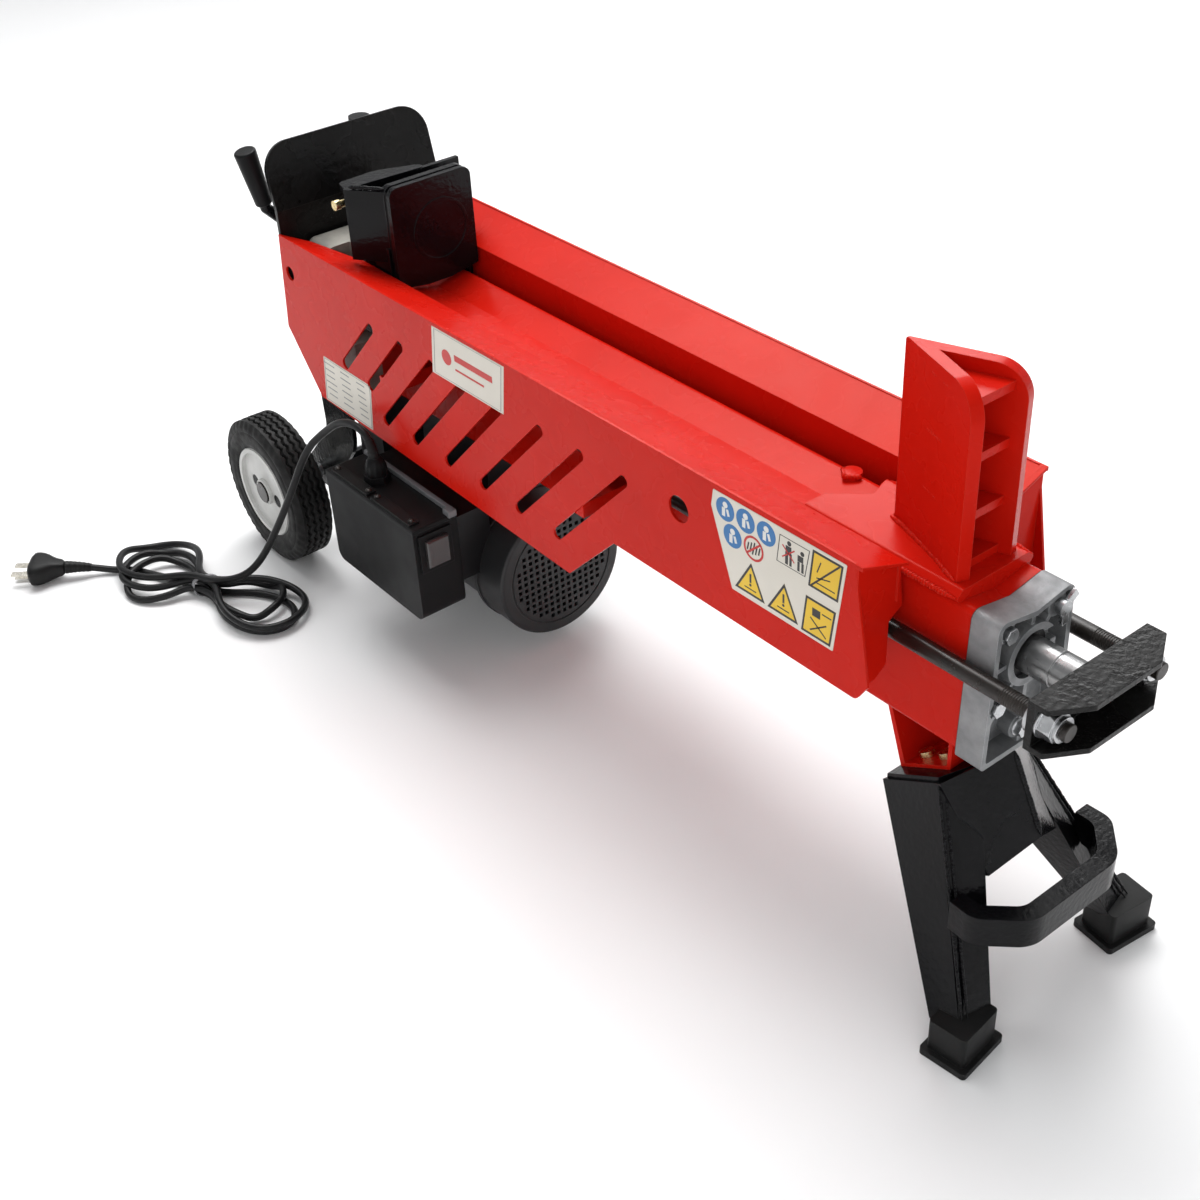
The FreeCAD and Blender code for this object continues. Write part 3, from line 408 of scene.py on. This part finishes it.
# %% Draw a route as a smooth curve
def lead_curve(name, route, radius=0.0):
    """A NURBS curve through the pull of the route's points, given in stations."""
    data = bpy.data.curves.new(name, "CURVE")
    data.dimensions = "3D"
    spline = data.splines.new("NURBS")
    spline.points.add(len(route) - 1)
    for point, place in zip(spline.points, route):
        point.co = (*at(*place), 1)
    spline.order_u = 3
    spline.use_endpoint_u = True
    spline.resolution_u = 8
    data.bevel_depth = radius / 1000
    data.bevel_resolution = 5
    data.use_fill_caps = True
    thing = bpy.data.objects.new(name, data)
    bpy.context.scene.collection.objects.link(thing)
    return thing


def line_of(route):
    """The places that the smooth line of a route passes through."""
    trial = lead_curve("trial_line", route)
    mesh = bpy.data.meshes.new_from_object(trial)
    places = [v.co.copy() for v in mesh.vertices]
    bpy.data.meshes.remove(mesh)
    data = trial.data
    bpy.data.objects.remove(trial)
    bpy.data.curves.remove(data)
    return places


# %% [markdown]
# The turns can't pass through each other. The flat line is laid down from the plug end, and wherever it crosses
# what is already there it rests on top of it, one lead thickness up. Each control point takes the highest rest
# near it, which makes a long low hump over every crossing.

# %% Lay the turns on one another
LEAD_THICKNESS = 2 * LEAD_RADIUS + 0.2
FLOOR_REST = LEAD_RADIUS + 0.1
SAME_RUN = 30 / 1000

flat_route = [(x, y, 0) for x, y, _ in FEED] + [(x, y, 0) for x, y in hank] + [(x, y, 0) for x, y, _ in TAIL]
flat_line = line_of(flat_route)
walked = [0.0]
for here, there in zip(flat_line, flat_line[1:]):
    walked.append(walked[-1] + (there - here).length)
rest = [FLOOR_REST] * len(flat_line)
for i in range(len(flat_line) - 1, -1, -1):
    for j in range(len(flat_line) - 1, i, -1):
        if walked[j] - walked[i] < SAME_RUN:
            break
        gap = (flat_line[j] - flat_line[i]).length * 1000
        if gap < LEAD_THICKNESS:
            rest[i] = max(rest[i], rest[j] + sqrt(LEAD_THICKNESS ** 2 - gap ** 2))

spans = len(flat_route) - 2
per_span = (len(flat_line) - 1) / spans


def rest_near(index):
    """The highest rest of the line close to a control point."""
    centre = (index - 0.5) * per_span
    first, last = int(max(0, centre - per_span)), int(min(len(rest) - 1, centre + per_span))
    return max(rest[first:last + 1])


laid_hank = [(x, y, rest_near(len(FEED) + i)) for i, (x, y) in enumerate(hank)]
route = FEED + laid_hank + TAIL
print("highest pass:", round(max(z for _, _, z in laid_hank), 1), "mm")

# %% The lead itself
mains_lead = lead_curve("mains_lead", route, LEAD_RADIUS)
mains_lead.data.materials.append(lead_rubber)
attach(mains_lead, "frame")
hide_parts("power_cord", "cord_hank")
lead_line = line_of(route)

# %% [markdown]
# The tie is a flat grey strap pulled round the bundle. It is a band bent into a rounded loop that leans across the
# leads.

# %% Tie strap
STRAP_WIDTH, STRAP_THICK = 3.6, 1.0
BUNDLE_HALF, BUNDLE_HIGH = 11.6, 20.0
STRAP_LEAN = 0.30
STRAP_STEPS = 56


def strap_place(angle, out, along):
    """A spot on the strap: angle round the bundle, distance out from its skin, place across its width."""
    c, s = cos(angle), sin(angle)
    across = (BUNDLE_HALF + out) * abs(c) ** 0.8 * (1 if c > 0 else -1)
    height = BUNDLE_HIGH / 2 + 0.4 + (BUNDLE_HIGH / 2 + out) * abs(s) ** 0.8 * (1 if s > 0 else -1)
    return at(TIE[0] + along + STRAP_LEAN * across, TIE[1] + across, max(0.3, height))


strap = bmesh.new()
loops = []
for k in range(STRAP_STEPS):
    angle = tau * k / STRAP_STEPS
    loops.append([strap.verts.new(strap_place(angle, out, along)) for out, along in
                  ((0.0, -STRAP_WIDTH / 2), (STRAP_THICK, -STRAP_WIDTH / 2), (STRAP_THICK, STRAP_WIDTH / 2),
                   (0.0, STRAP_WIDTH / 2))])
for k in range(STRAP_STEPS):
    near, far = loops[k], loops[(k + 1) % STRAP_STEPS]
    for j in range(4):
        strap.faces.new((near[j], near[(j + 1) % 4], far[(j + 1) % 4], far[j]))
tie_strap = add_piece("tie_strap", strap, "frame", tie_plastic)
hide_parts("cord_tie")

# %% [markdown]
# A moulded relief keeps the lead from kinking where it leaves the gland and where it enters the plug. Each is a
# ribbed rubber taper, swept along the lead's own line so that it bends with it.

# %% Strain reliefs
RELIEF_LENGTH = 0.022
RELIEF_RIBS = 6
RELIEF_STEP = 0.0005


def first_part(line, length):
    """The points of a line up to a length, evenly enough for a sweep."""
    taken, gone = [line[0]], 0.0
    for here, there in zip(line, line[1:]):
        steps = max(1, int((there - here).length / RELIEF_STEP))
        for k in range(1, steps + 1):
            taken.append(here.lerp(there, k / steps))
        gone += (there - here).length
        if gone > length:
            break
    return taken


def relief_radius(wide, narrow):
    """A taper with soft ribs."""
    def radius(part, angle):
        rib = 0.35 * max(0.0, sin(tau * RELIEF_RIBS * part)) if 0.06 < part < 0.94 else 0.0
        return (wide + (narrow - wide) * part + rib) / 1000
    return radius


gland_relief = add_piece("gland_relief", sweep(first_part(lead_line, RELIEF_LENGTH), relief_radius(5.2, 3.8), 24),
                         "frame", black_rubber)
plug_relief = add_piece("plug_relief", sweep(first_part(lead_line[::-1], RELIEF_LENGTH), relief_radius(6.2, 3.9), 24),
                        "frame", black_rubber)

# %% [markdown]
# ## Tyres
# Each wheel is a small solid tyre on a light plastic disc. A tyre is a profile turned about the axle. The tread is
# pressed into it as it turns: four grooves that run round in a zigzag, and short notches on both shoulders.

# %% Tyre profile and tread
WHEEL_X, WHEEL_Y, AXLE_Z = -38, 110, 72
GROOVES = (-9.8, -3.3, 3.3, 9.8)
ZIGZAGS = 44
TYRE_STEPS = 6 * ZIGZAGS
GROOVE_HALF, GROOVE_DEPTH = 1.15, 3.2


def zigzag(turns):
    """A triangle wave from -1 to 1, once per turn."""
    part = turns % 1.0
    return 4 * abs(part - 0.5) - 1


def press_tread(along, radius, angle):
    """How far the mould presses the surface in at one place of the tyre."""
    sunk = 0.0
    if radius > 70:
        for groove in GROOVES:
            middle = groove + 1.3 * zigzag(angle / tau * ZIGZAGS)
            reach = abs(along - middle) / GROOVE_HALF
            if reach < 1:
                sunk = -GROOVE_DEPTH * (1 - reach ** 4)
    elif radius > 64 and zigzag(angle / tau * ZIGZAGS) > 0.2:
        sunk = -1.2
    return sunk


side_wall = [(-15.5, 44.1), (-17.6, 46), (-18.4, 50), (-18.0, 52), (-18.7, 54), (-18.9, 60), (-18.2, 61.5),
             (-18.6, 63), (-17.9, 66.5), (-16.4, 69.4)]
tread = [(-14.8 + 0.6 * k, 71.9 - 0.35 * abs(-14.8 + 0.6 * k) / 15) for k in range(50)]
tyre_profile = side_wall + tread + [(-along, radius) for along, radius in side_wall[::-1]]
print("tyre profile points:", len(tyre_profile))

# %% Mould both tyres
for side, sign in (("right", -1), ("left", 1)):
    moulded = spin(tyre_profile, at(WHEEL_X, sign * WHEEL_Y, AXLE_Z), steps=TYRE_STEPS, shift=press_tread)
    tyre = add_piece("tyre_tread_" + side, moulded, "wheel_" + side, tyre_rubber)
    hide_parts("tyre_" + side)

# %% [markdown]
# The disc is a light moulding with a raised rim where the tyre seats and a boss round the axle. Both are turned
# rings laid on the frame's own hub, and they spin with it. A dark rubber disc sits a little way inside each of the
# two holes: painted shade, so the holes read as dark as shadowed openings.

# %% Hub rims, bosses and painted shade in the holes
HOLE_REACH, HOLE_TURN, HOLE_RADIUS = 20, radians(8), 6.4
for side, sign in (("right", -1), ("left", 1)):
    hub_middle = at(WHEEL_X, sign * WHEEL_Y, AXLE_Z)
    rim = [(sign * 15, 41.5), (sign * 17, 42.2), (sign * 17.4, 43.6), (sign * 16.6, 44.6), (sign * 13, 44.4)]
    add_piece("hub_rim_" + side, spin(rim, hub_middle, steps=96), "wheel_" + side, hub_plastic)
    boss = [(sign * 13, 13.3), (sign * 17.2, 12.7), (sign * 17.9, 11.9), (sign * 17.6, 10.9), (sign * 13, 10.9)]
    add_piece("hub_boss_" + side, spin(boss, hub_middle, steps=64), "wheel_" + side, hub_plastic)
    for number, way in enumerate((-1, 1)):
        hole_middle = at(WHEEL_X + way * HOLE_REACH * cos(HOLE_TURN), sign * WHEEL_Y,
                         AXLE_Z - way * HOLE_REACH * sin(HOLE_TURN))
        # A dark disc a little way inside the hole: painted shade.
        hole_shade_disc = [(sign * 11, 0.0), (sign * 11, HOLE_RADIUS), (sign * 13.4, HOLE_RADIUS), (sign * 13.4, 0.0)]
        add_piece("hub_hole_%s_%d" % (side, number), spin(hole_shade_disc, hole_middle, steps=32),
                  "wheel_" + side, black_rubber)
print("wheels have", ZIGZAGS, "zigzags round the tread")

# %% [markdown]
# ## Welds and seams
# A weld bead is a row of frozen ripples. It is swept as a thin tube whose radius swells and drops with each ripple
# and wanders a little, as a hand does. The red beads sit under the same paint as the steel they join.

# %% Weld bead
RIPPLE = 2.3


def dense(corners, step=0.35):
    """Places along a run of stations, close enough together to carry ripples."""
    places = []
    for start, end in zip(corners, corners[1:]):
        start, end = Vector(start), Vector(end)
        count = max(2, int((end - start).length / step))
        places += [start.lerp(end, k / count) for k in range(count)]
    return places + [Vector(corners[-1])]


def weld(name, corners, radius, body, material, wander=0.35):
    """A rippled bead along stations."""
    line = dense(corners)
    length = sum((b - a).length for a, b in zip(line, line[1:]))
    seed = Vector((len(name), corners[0][0], corners[0][2])) / 7
    placed = []
    for k, place in enumerate(line):
        drift = noise.noise_vector(seed + Vector((k * 0.02, 0, 0))) * wander
        placed.append(at(*(place + drift)))

    def ripple(part, angle):
        beat = (part * length / RIPPLE) % 1.0
        ends = min(1.0, 8 * part + 0.3, 8 * (1 - part) + 0.3)
        lump = 0.25 * noise.noise(seed + Vector((part * length / 3, 5, 0)))
        return radius * ends * (0.82 + 0.26 * beat + lump) / 1000

    return add_piece(name, sweep(placed, ripple, 10), body, material)


RED_WELDS = {
    "saddle_weld_near": [(592, -35.6, 302.6), (723, -35.6, 302.6)],
    "saddle_weld_far": [(604, 35.6, 302.6), (723, 35.6, 302.6)],
    "saddle_weld_rear": [(590, -35, 302.8), (588, -14, 301.5), (611.5, 10, 302), (602, 35, 302.8)],
    "wedge_weld_near": [(638, -1.5, 307.6), (652, -4.5, 307.6), (690, -17, 307.6), (715, -27.8, 307.6)],
    "wedge_weld_far": [(638, 1.5, 307.6), (652, 4.5, 307.6), (690, 17, 307.6), (715, 27.8, 307.6)],
    "bracket_weld_near": [(669, -27.4, 189.6), (724, -27.4, 189.6)],
    "beam_bump_weld": [(568, 27, 300.6), (577, 19.5, 300.2), (586, 27, 300.6)],
}
RIB_HEIGHTS, RIB_THICK = (342, 382, 420), 6.2
for name, corners in RED_WELDS.items():
    weld(name, corners, 2.0, "frame", red_paint)
for height in RIB_HEIGHTS:
    for label, sign in (("rib_weld_", -1), ("rib_weld_far_", 1)):
        corners = [(668, sign * 9.5, height + RIB_THICK), (708, sign * 22.5, height + RIB_THICK)]
        weld(label + str(height), corners, 1.3, "frame", red_paint)
print("red beads:", len(RED_WELDS) + 2 * len(RIB_HEIGHTS))

# %% Seams of the stand and the pusher
for side, sign in (("right", -1), ("left", 1)):
    for lip, shift in (("outer", 0.0), ("inner", 4.2)):
        weld("leg_seam_%s_%s" % (lip, side),
             [(727 + shift * 0.3, sign * (40 - shift), 160), (775 + shift * 0.3, sign * (70 - shift), 74),
              (801 + shift * 0.3, sign * (86.5 - shift), 30)], 1.3, "frame", black_paint, 0.12)
weld("gusset_ridge", [(753.5, 0, 182), (782, 0, 128)], 2.0, "frame", black_paint, 0.1)
weld("pusher_corner_weld", [(84, -56, 389.5), (96, -47, 389.8), (109, -37.5, 389.6)], 1.7, "ram",
     black_paint)
weld("pusher_top_weld", [(107, -30, 390.5), (107, 30, 390.5)], 1.4, "ram", black_paint)

# %% [markdown]
# ## Labels
# The stickers are printed film. Each ink is a very thin raised shape on the film, so that the print has a real edge
# and its own gloss. The shapes are plain: bars, discs, rings and triangles that stand for a safety sheet.

# %% Inks
ink_blue = finish("safety_blue_ink", ((0.010, 0.13, 0.36), (0.016, 0.17, 0.43)), (0.3, 0.4), 500, 0.01)
ink_yellow = finish("safety_yellow_ink", ((0.74, 0.46, 0.010), (0.82, 0.54, 0.018)), (0.3, 0.4), 500, 0.01)
ink_black = finish("black_ink", ((0.006, 0.006, 0.006), (0.014, 0.014, 0.014)), (0.3, 0.4), 500, 0.01)
ink_red = finish("red_ink", ((0.52, 0.012, 0.010), (0.62, 0.020, 0.014)), (0.3, 0.4), 500, 0.01)
ink_white = finish("white_ink", ((0.74, 0.73, 0.70), (0.80, 0.79, 0.76)), (0.3, 0.4), 500, 0.01)
ink_grey = finish("grey_ink", ((0.20, 0.20, 0.19), (0.28, 0.28, 0.27)), (0.3, 0.4), 500, 0.01)
FILM_FACE = -84.65
INK_LAYER, FILM_LAYER = 0.06, 0.25


def ink(name, shapes, material, layer=1, thick=INK_LAYER):
    """Flat printed shapes on the near panel. Each shape is a closed run of (x, z) stations."""
    bm = bmesh.new()
    over = FILM_FACE - INK_LAYER * layer
    under = over + thick
    for shape in shapes:
        low = [bm.verts.new(at(x, under, z)) for x, z in shape]
        high = [bm.verts.new(at(x, over, z)) for x, z in shape]
        bm.faces.new(low)
        bm.faces.new(high[::-1])
        for k in range(len(shape)):
            nxt = (k + 1) % len(shape)
            bm.faces.new((low[k], low[nxt], high[nxt], high[k]))
    return add_piece(name, bm, "frame", material)


def disc(x, z, radius, sides=40):
    return [(x + radius * cos(tau * k / sides), z + radius * sin(tau * k / sides)) for k in range(sides)]


def ring(x, z, outer, inner, sides=40):
    """A ring as a run of small four-sided shapes."""
    def spot(radius, k):
        return (x + radius * cos(tau * k / sides), z + radius * sin(tau * k / sides))
    return [[spot(outer, k), spot(outer, k + 1), spot(inner, k + 1), spot(inner, k)] for k in range(sides)]


def shrink(shape, keep):
    """A shape drawn smaller about its own middle."""
    mx = sum(x for x, _ in shape) / len(shape)
    mz = sum(z for _, z in shape) / len(shape)
    return [(mx + (x - mx) * keep, mz + (z - mz) * keep) for x, z in shape]


def border(shape, keep):
    """A frame round a shape, as four-sided strips."""
    small = shrink(shape, keep)
    count = len(shape)
    return [[shape[k], shape[(k + 1) % count], small[(k + 1) % count], small[k]] for k in range(count)]


def bar(x, z, length, width, lean=0.0):
    """A bar centred on a station, leaning by some degrees from level."""
    c, s = cos(radians(lean)), sin(radians(lean))
    corners = [(-length / 2, -width / 2), (length / 2, -width / 2), (length / 2, width / 2), (-length / 2, width / 2)]
    return [(x + a * c - b * s, z + a * s + b * c) for a, b in corners]


# %% Safety sheet
DISCS = [(572.5, 317.5), (591.5, 317.5), (610.5, 317), (579.5, 300.3)]
DISC_RADIUS = 8.6
print("safety sheet discs:", len(DISCS))
ink("sheet_discs", [disc(x, z, DISC_RADIUS) for x, z in DISCS], ink_blue)
marks = []
for x, z in DISCS:
    marks += [disc(x, z + 3.4, 2.3, 20), bar(x - 1.5, z - 2.2, 3.0, 6.5), bar(x + 2.6, z - 1.6, 2.2, 5.0, 18)]
ink("sheet_disc_marks", marks, ink_white, 2)
ink("sheet_stop_ring", ring(599.2, 300.3, 9.2, 7.5) + [bar(599.2, 300.3, 15.6, 1.5, 42)], ink_red, 2)
stop_bars = [bar(599.2 + 2.6 * k, 300.3, 1.3, 10 - 2 * abs(k), -12) for k in (-2, -1, 0, 1, 2)]
ink("sheet_stop_bars", stop_bars, ink_black)
panel_frame = [(620, 302), (645.5, 302), (649, 323), (622.5, 323)]
ink("sheet_panel_frame", border(panel_frame, 0.95), ink_black)
figures = [bar(629, 308, 2.6, 9), bar(632.5, 308, 2, 9), bar(630.5, 315, 5, 5), disc(631, 319.6, 1.8, 20),
           bar(639.5, 307, 2, 7), bar(643, 307, 2, 7), bar(641, 313, 5, 4.5), disc(642.5, 317.4, 1.7, 20)]
ink("sheet_panel_marks", figures, ink_black)
ink("sheet_panel_cross", [bar(630.5, 312, 14, 1.0, 40), bar(630.5, 312, 14, 1.0, -40)], ink_red, 2)
TRIANGLES = [[(582, 263), (610, 263), (597, 288.3)], [(612.5, 262.7), (640.5, 262.7), (627.5, 288)]]
SQUARES = [[(648.3, 297.6), (673.8, 297.6), (677.2, 325.6), (651.4, 325.6)],
           [(643.3, 261.2), (668.8, 261.2), (672.6, 289.4), (646.7, 289.4)]]
ink("sheet_yellow", TRIANGLES + SQUARES, ink_yellow)
outlines = []
for shape in TRIANGLES:
    outlines += border(shape, 0.80)
for shape in SQUARES:
    outlines += border(shape, 0.88)
ink("sheet_outlines", outlines, ink_black, 2)
warnings = []
for x in (596.5, 627):
    warnings += [bar(x, 276, 1.7, 7), disc(x, 270.8, 1.1, 16), bar(x, 267.6, 11, 0.9)]
warnings += [bar(662.5, 311.5, 34, 1.3, 47), bar(661, 308, 12, 0.9, 15), bar(663, 303, 16, 0.9),
             bar(657, 315, 9, 0.9, 70), bar(656, 280, 7, 6), bar(665, 282, 8, 1.0), bar(658, 270, 17, 1.1, 35),
             bar(658, 270, 17, 1.1, -35)]
ink("sheet_warning_marks", warnings, ink_black, 2)
print("safety sheet: discs, ring, panel, two triangles, two squares")

# %% Badge and rating plate
badge_shape = [(231, 287), (326, 287), (332, 329), (237, 329)]
badge_film = ink("badge_film", [badge_shape], label_film, 0, FILM_LAYER)
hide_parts("badge")
ink("badge_border", border(shrink(badge_shape, 0.94), 0.98), ink_grey)
ink("badge_marks", [disc(254, 308, 6.5), bar(290, 311.5, 50, 5.5), bar(284, 301.5, 38, 1.8)], ink_red)
PLATE_ROWS, PLATE_TOP, ROW_PITCH = 6, 228, 6.2
plate_rows = []
for row in range(PLATE_ROWS):
    z = PLATE_TOP - ROW_PITCH * row
    plate_rows += [bar(56, z, 18 - 2 * (row % 3), 1.1), bar(82, z, 14 + 3 * (row % 2), 1.1), bar(108, z, 13, 1.1)]
ink("plate_rows", plate_rows, ink_grey)
ink("plate_border", border([(42.2, 189.2), (118, 189.2), (124.6, 232.4), (49, 232.4)], 0.975), ink_grey)

# %% [markdown]
# ## Switch box, gland and plug
# The lid of the switch box has a light rail along its back edge and a screw in each recess. The gland is a ribbed
# dome that grips the lead. Each is a small turned or lofted shape.

# %% Lid rail and screws
def block(x0, x1, y0, y1, z0, z1):
    """A bmesh block between stations, to be rounded by its edge radius."""
    bm = bmesh.new()
    corners = [bm.verts.new(at(x, y, z)) for z in (z0, z1) for x, y in ((x0, y0), (x1, y0), (x1, y1), (x0, y1))]
    for run in ((0, 1, 2, 3), (4, 5, 6, 7), (0, 1, 5, 4), (1, 2, 6, 5), (2, 3, 7, 6), (3, 0, 4, 7)):
        bm.faces.new([corners[k] for k in run])
    return bm


add_piece("lid_rail", block(99, 236, -86.3, -81.6, 156, 160.6), "frame", rail_plastic, 0.8)
add_piece("lid_rail_tab", block(228, 237.5, -90, -81.6, 154.5, 161), "frame", rail_plastic, 1.0)
for number, (x, y) in enumerate(((108, -118), (158, -118), (172, -118), (224, -118))):
    head = [(0.0, 0.0), (0.0, 2.9), (0.9, 2.9), (1.6, 2.2), (1.9, 0.8), (1.0, 0.5), (1.0, 0.0)]
    add_piece("lid_screw_%d" % number, spin(head, at(x, y, 158.4), "Z", 24), "frame", oiled_steel)

# %% Gland dome
GLAND_X, GLAND_Y = 145, -101


def dome_ribs(along, radius, angle):
    return 0.35 * cos(12 * angle) if 5.5 < radius and 1 < along < 12 else 0.0


dome = [(0, 4.2), (0, 9.2), (3, 9.5), (9, 8.9), (13, 7.7), (15.6, 6.0), (16.4, 4.2)]
add_piece("gland_dome", spin(dome, at(GLAND_X, GLAND_Y, 162.5), "Z", 96, dome_ribs), "frame",
          black_plastic)

# %% [markdown]
# The plug is one rubber moulding. It is lofted through a few rounded sections, narrow at the lead and wide at the
# pins.

# %% Plug body
PLUG_NECK, PLUG_TURN = Vector((-143, -300, 12)), radians(-126.9)
PLUG_REST = 11.8
PLUG_SECTIONS = [(-1, 5.2, 5.2), (2, 7.6, 7.2), (6, 8.4, 8.2), (10, 10.5, 9.2), (15, 14.6, 10.4), (20, 17.8, 11.0),
                 (24, 19.0, 11.4), (27.5, 19.0, 11.4), (29, 18.4, 11.0), (29.6, 17.4, 10.2), (30.2, 16.4, 10.0),
                 (31, 15.6, 9.6)]


def plug_place(along, across, height):
    c, s = cos(PLUG_TURN), sin(PLUG_TURN)
    spot = PLUG_NECK + Vector((along * c - across * s, along * s + across * c, height))
    return at(*spot)


def loft_plug(sections, around=40, squareness=0.62):
    """Skin through rounded sections of (along, half width, half height)."""
    bm = bmesh.new()
    rings = []
    for along, half_wide, half_high in sections:
        placed = []
        for k in range(around):
            a = tau * k / around
            ca, sa = cos(a), sin(a)
            across = half_wide * abs(ca) ** squareness * (1 if ca > 0 else -1)
            height = half_high * abs(sa) ** squareness * (1 if sa > 0 else -1)
            placed.append(bm.verts.new(plug_place(along, across, max(height, -PLUG_REST))))
        rings.append(placed)
    for low, high in zip(rings, rings[1:]):
        for k in range(around):
            nxt = (k + 1) % around
            bm.faces.new((low[k], low[nxt], high[nxt], high[k]))
    bm.faces.new(rings[0])
    bm.faces.new(rings[-1])
    return bm


plug_body = add_piece("plug_body", loft_plug(PLUG_SECTIONS), "frame", black_rubber)
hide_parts("plug")
print("plug length:", PLUG_SECTIONS[-1][0] - PLUG_SECTIONS[0][0], "mm")

# %% [markdown]
# ## Stage and light
# A pale floor curves up into a pale wall all the way round, like a shallow bowl, so that there is no horizon line
# from any side. Large soft lights stand in for a studio: one overhead, one behind to draw a bright line along the
# folded edges, and a broad fill near the camera.

# %% Floor and backdrop
STAGE_RADIUS, STAGE_RISE, SWEEP_RADIUS = 5.0, 3.2, 1.2
STAGE_SIDES, SWEEP_STEPS = 96, 12
stage_white = finish("stage_white", ((0.90, 0.90, 0.90), (0.92, 0.92, 0.92)), (0.6, 0.7), 200, 0.01, mottle=2)
section = []
for step in range(SWEEP_STEPS + 1):
    bend = radians(90 * step / SWEEP_STEPS)
    section.append((STAGE_RADIUS - SWEEP_RADIUS + SWEEP_RADIUS * sin(bend), SWEEP_RADIUS - SWEEP_RADIUS * cos(bend)))
section.append((STAGE_RADIUS, STAGE_RISE))

bowl = bmesh.new()
rings = [[bowl.verts.new((radius * cos(tau * k / STAGE_SIDES), radius * sin(tau * k / STAGE_SIDES), height))
          for k in range(STAGE_SIDES)] for radius, height in section]
bowl.faces.new(rings[0])
for low, high in zip(rings, rings[1:]):
    for k in range(STAGE_SIDES):
        nxt = (k + 1) % STAGE_SIDES
        bowl.faces.new((low[k], high[k], high[nxt], low[nxt]))
stage_data = bpy.data.meshes.new("stage_floor")
bowl.to_mesh(stage_data)
bowl.free()
for face in stage_data.polygons:
    face.use_smooth = True
stage_data.materials.append(stage_white)
stage_floor = bpy.data.objects.new("stage_floor", stage_data)
bpy.context.scene.collection.objects.link(stage_floor)
print("stage radius:", STAGE_RADIUS, "m")

# %% World and lights
bpy.context.scene.view_settings.view_transform = "Standard"
world = bpy.data.worlds.new("studio_air")
world.use_nodes = True
world.node_tree.nodes["Background"].inputs["Color"].default_value = (0.97, 0.98, 1.0, 1)
world.node_tree.nodes["Background"].inputs["Strength"].default_value = 0.40
bpy.context.scene.world = world


def soft_light(name, place, target, size, watts, tint=(1, 1, 1)):
    """A rectangular soft light aimed at a target."""
    lamp = bpy.data.lights.new(name, "AREA")
    lamp.shape = "RECTANGLE"
    lamp.size, lamp.size_y = size
    lamp.energy = watts
    lamp.color = tint
    thing = bpy.data.objects.new(name, lamp)
    thing.location = place
    thing.rotation_euler = (Vector(target) - Vector(place)).to_track_quat("-Z", "Y").to_euler()
    bpy.context.scene.collection.objects.link(thing)


soft_light("overhead_key", (-0.9, 0.5, 2.0), (0, 0, 0.2), (1.3, 0.9), 26)
soft_light("rear_strip", (-1.2, 1.6, 1.5), (0, 0, 0.25), (1.4, 0.5), 14)
soft_light("camera_fill", (1.6, -1.9, 1.3), (0.1, 0, 0.15), (1.6, 1.2), 7)

sky = bpy.data.lights.new("sky_glow", "SUN")
sky.energy = 1.5
sky.angle = radians(50)
sky_glow = bpy.data.objects.new("sky_glow", sky)
sky_glow.rotation_euler = Vector((0.45, -0.2, -1)).to_track_quat("-Z", "Y").to_euler()
bpy.context.scene.collection.objects.link(sky_glow)
print("lights: three soft boxes and a pale world")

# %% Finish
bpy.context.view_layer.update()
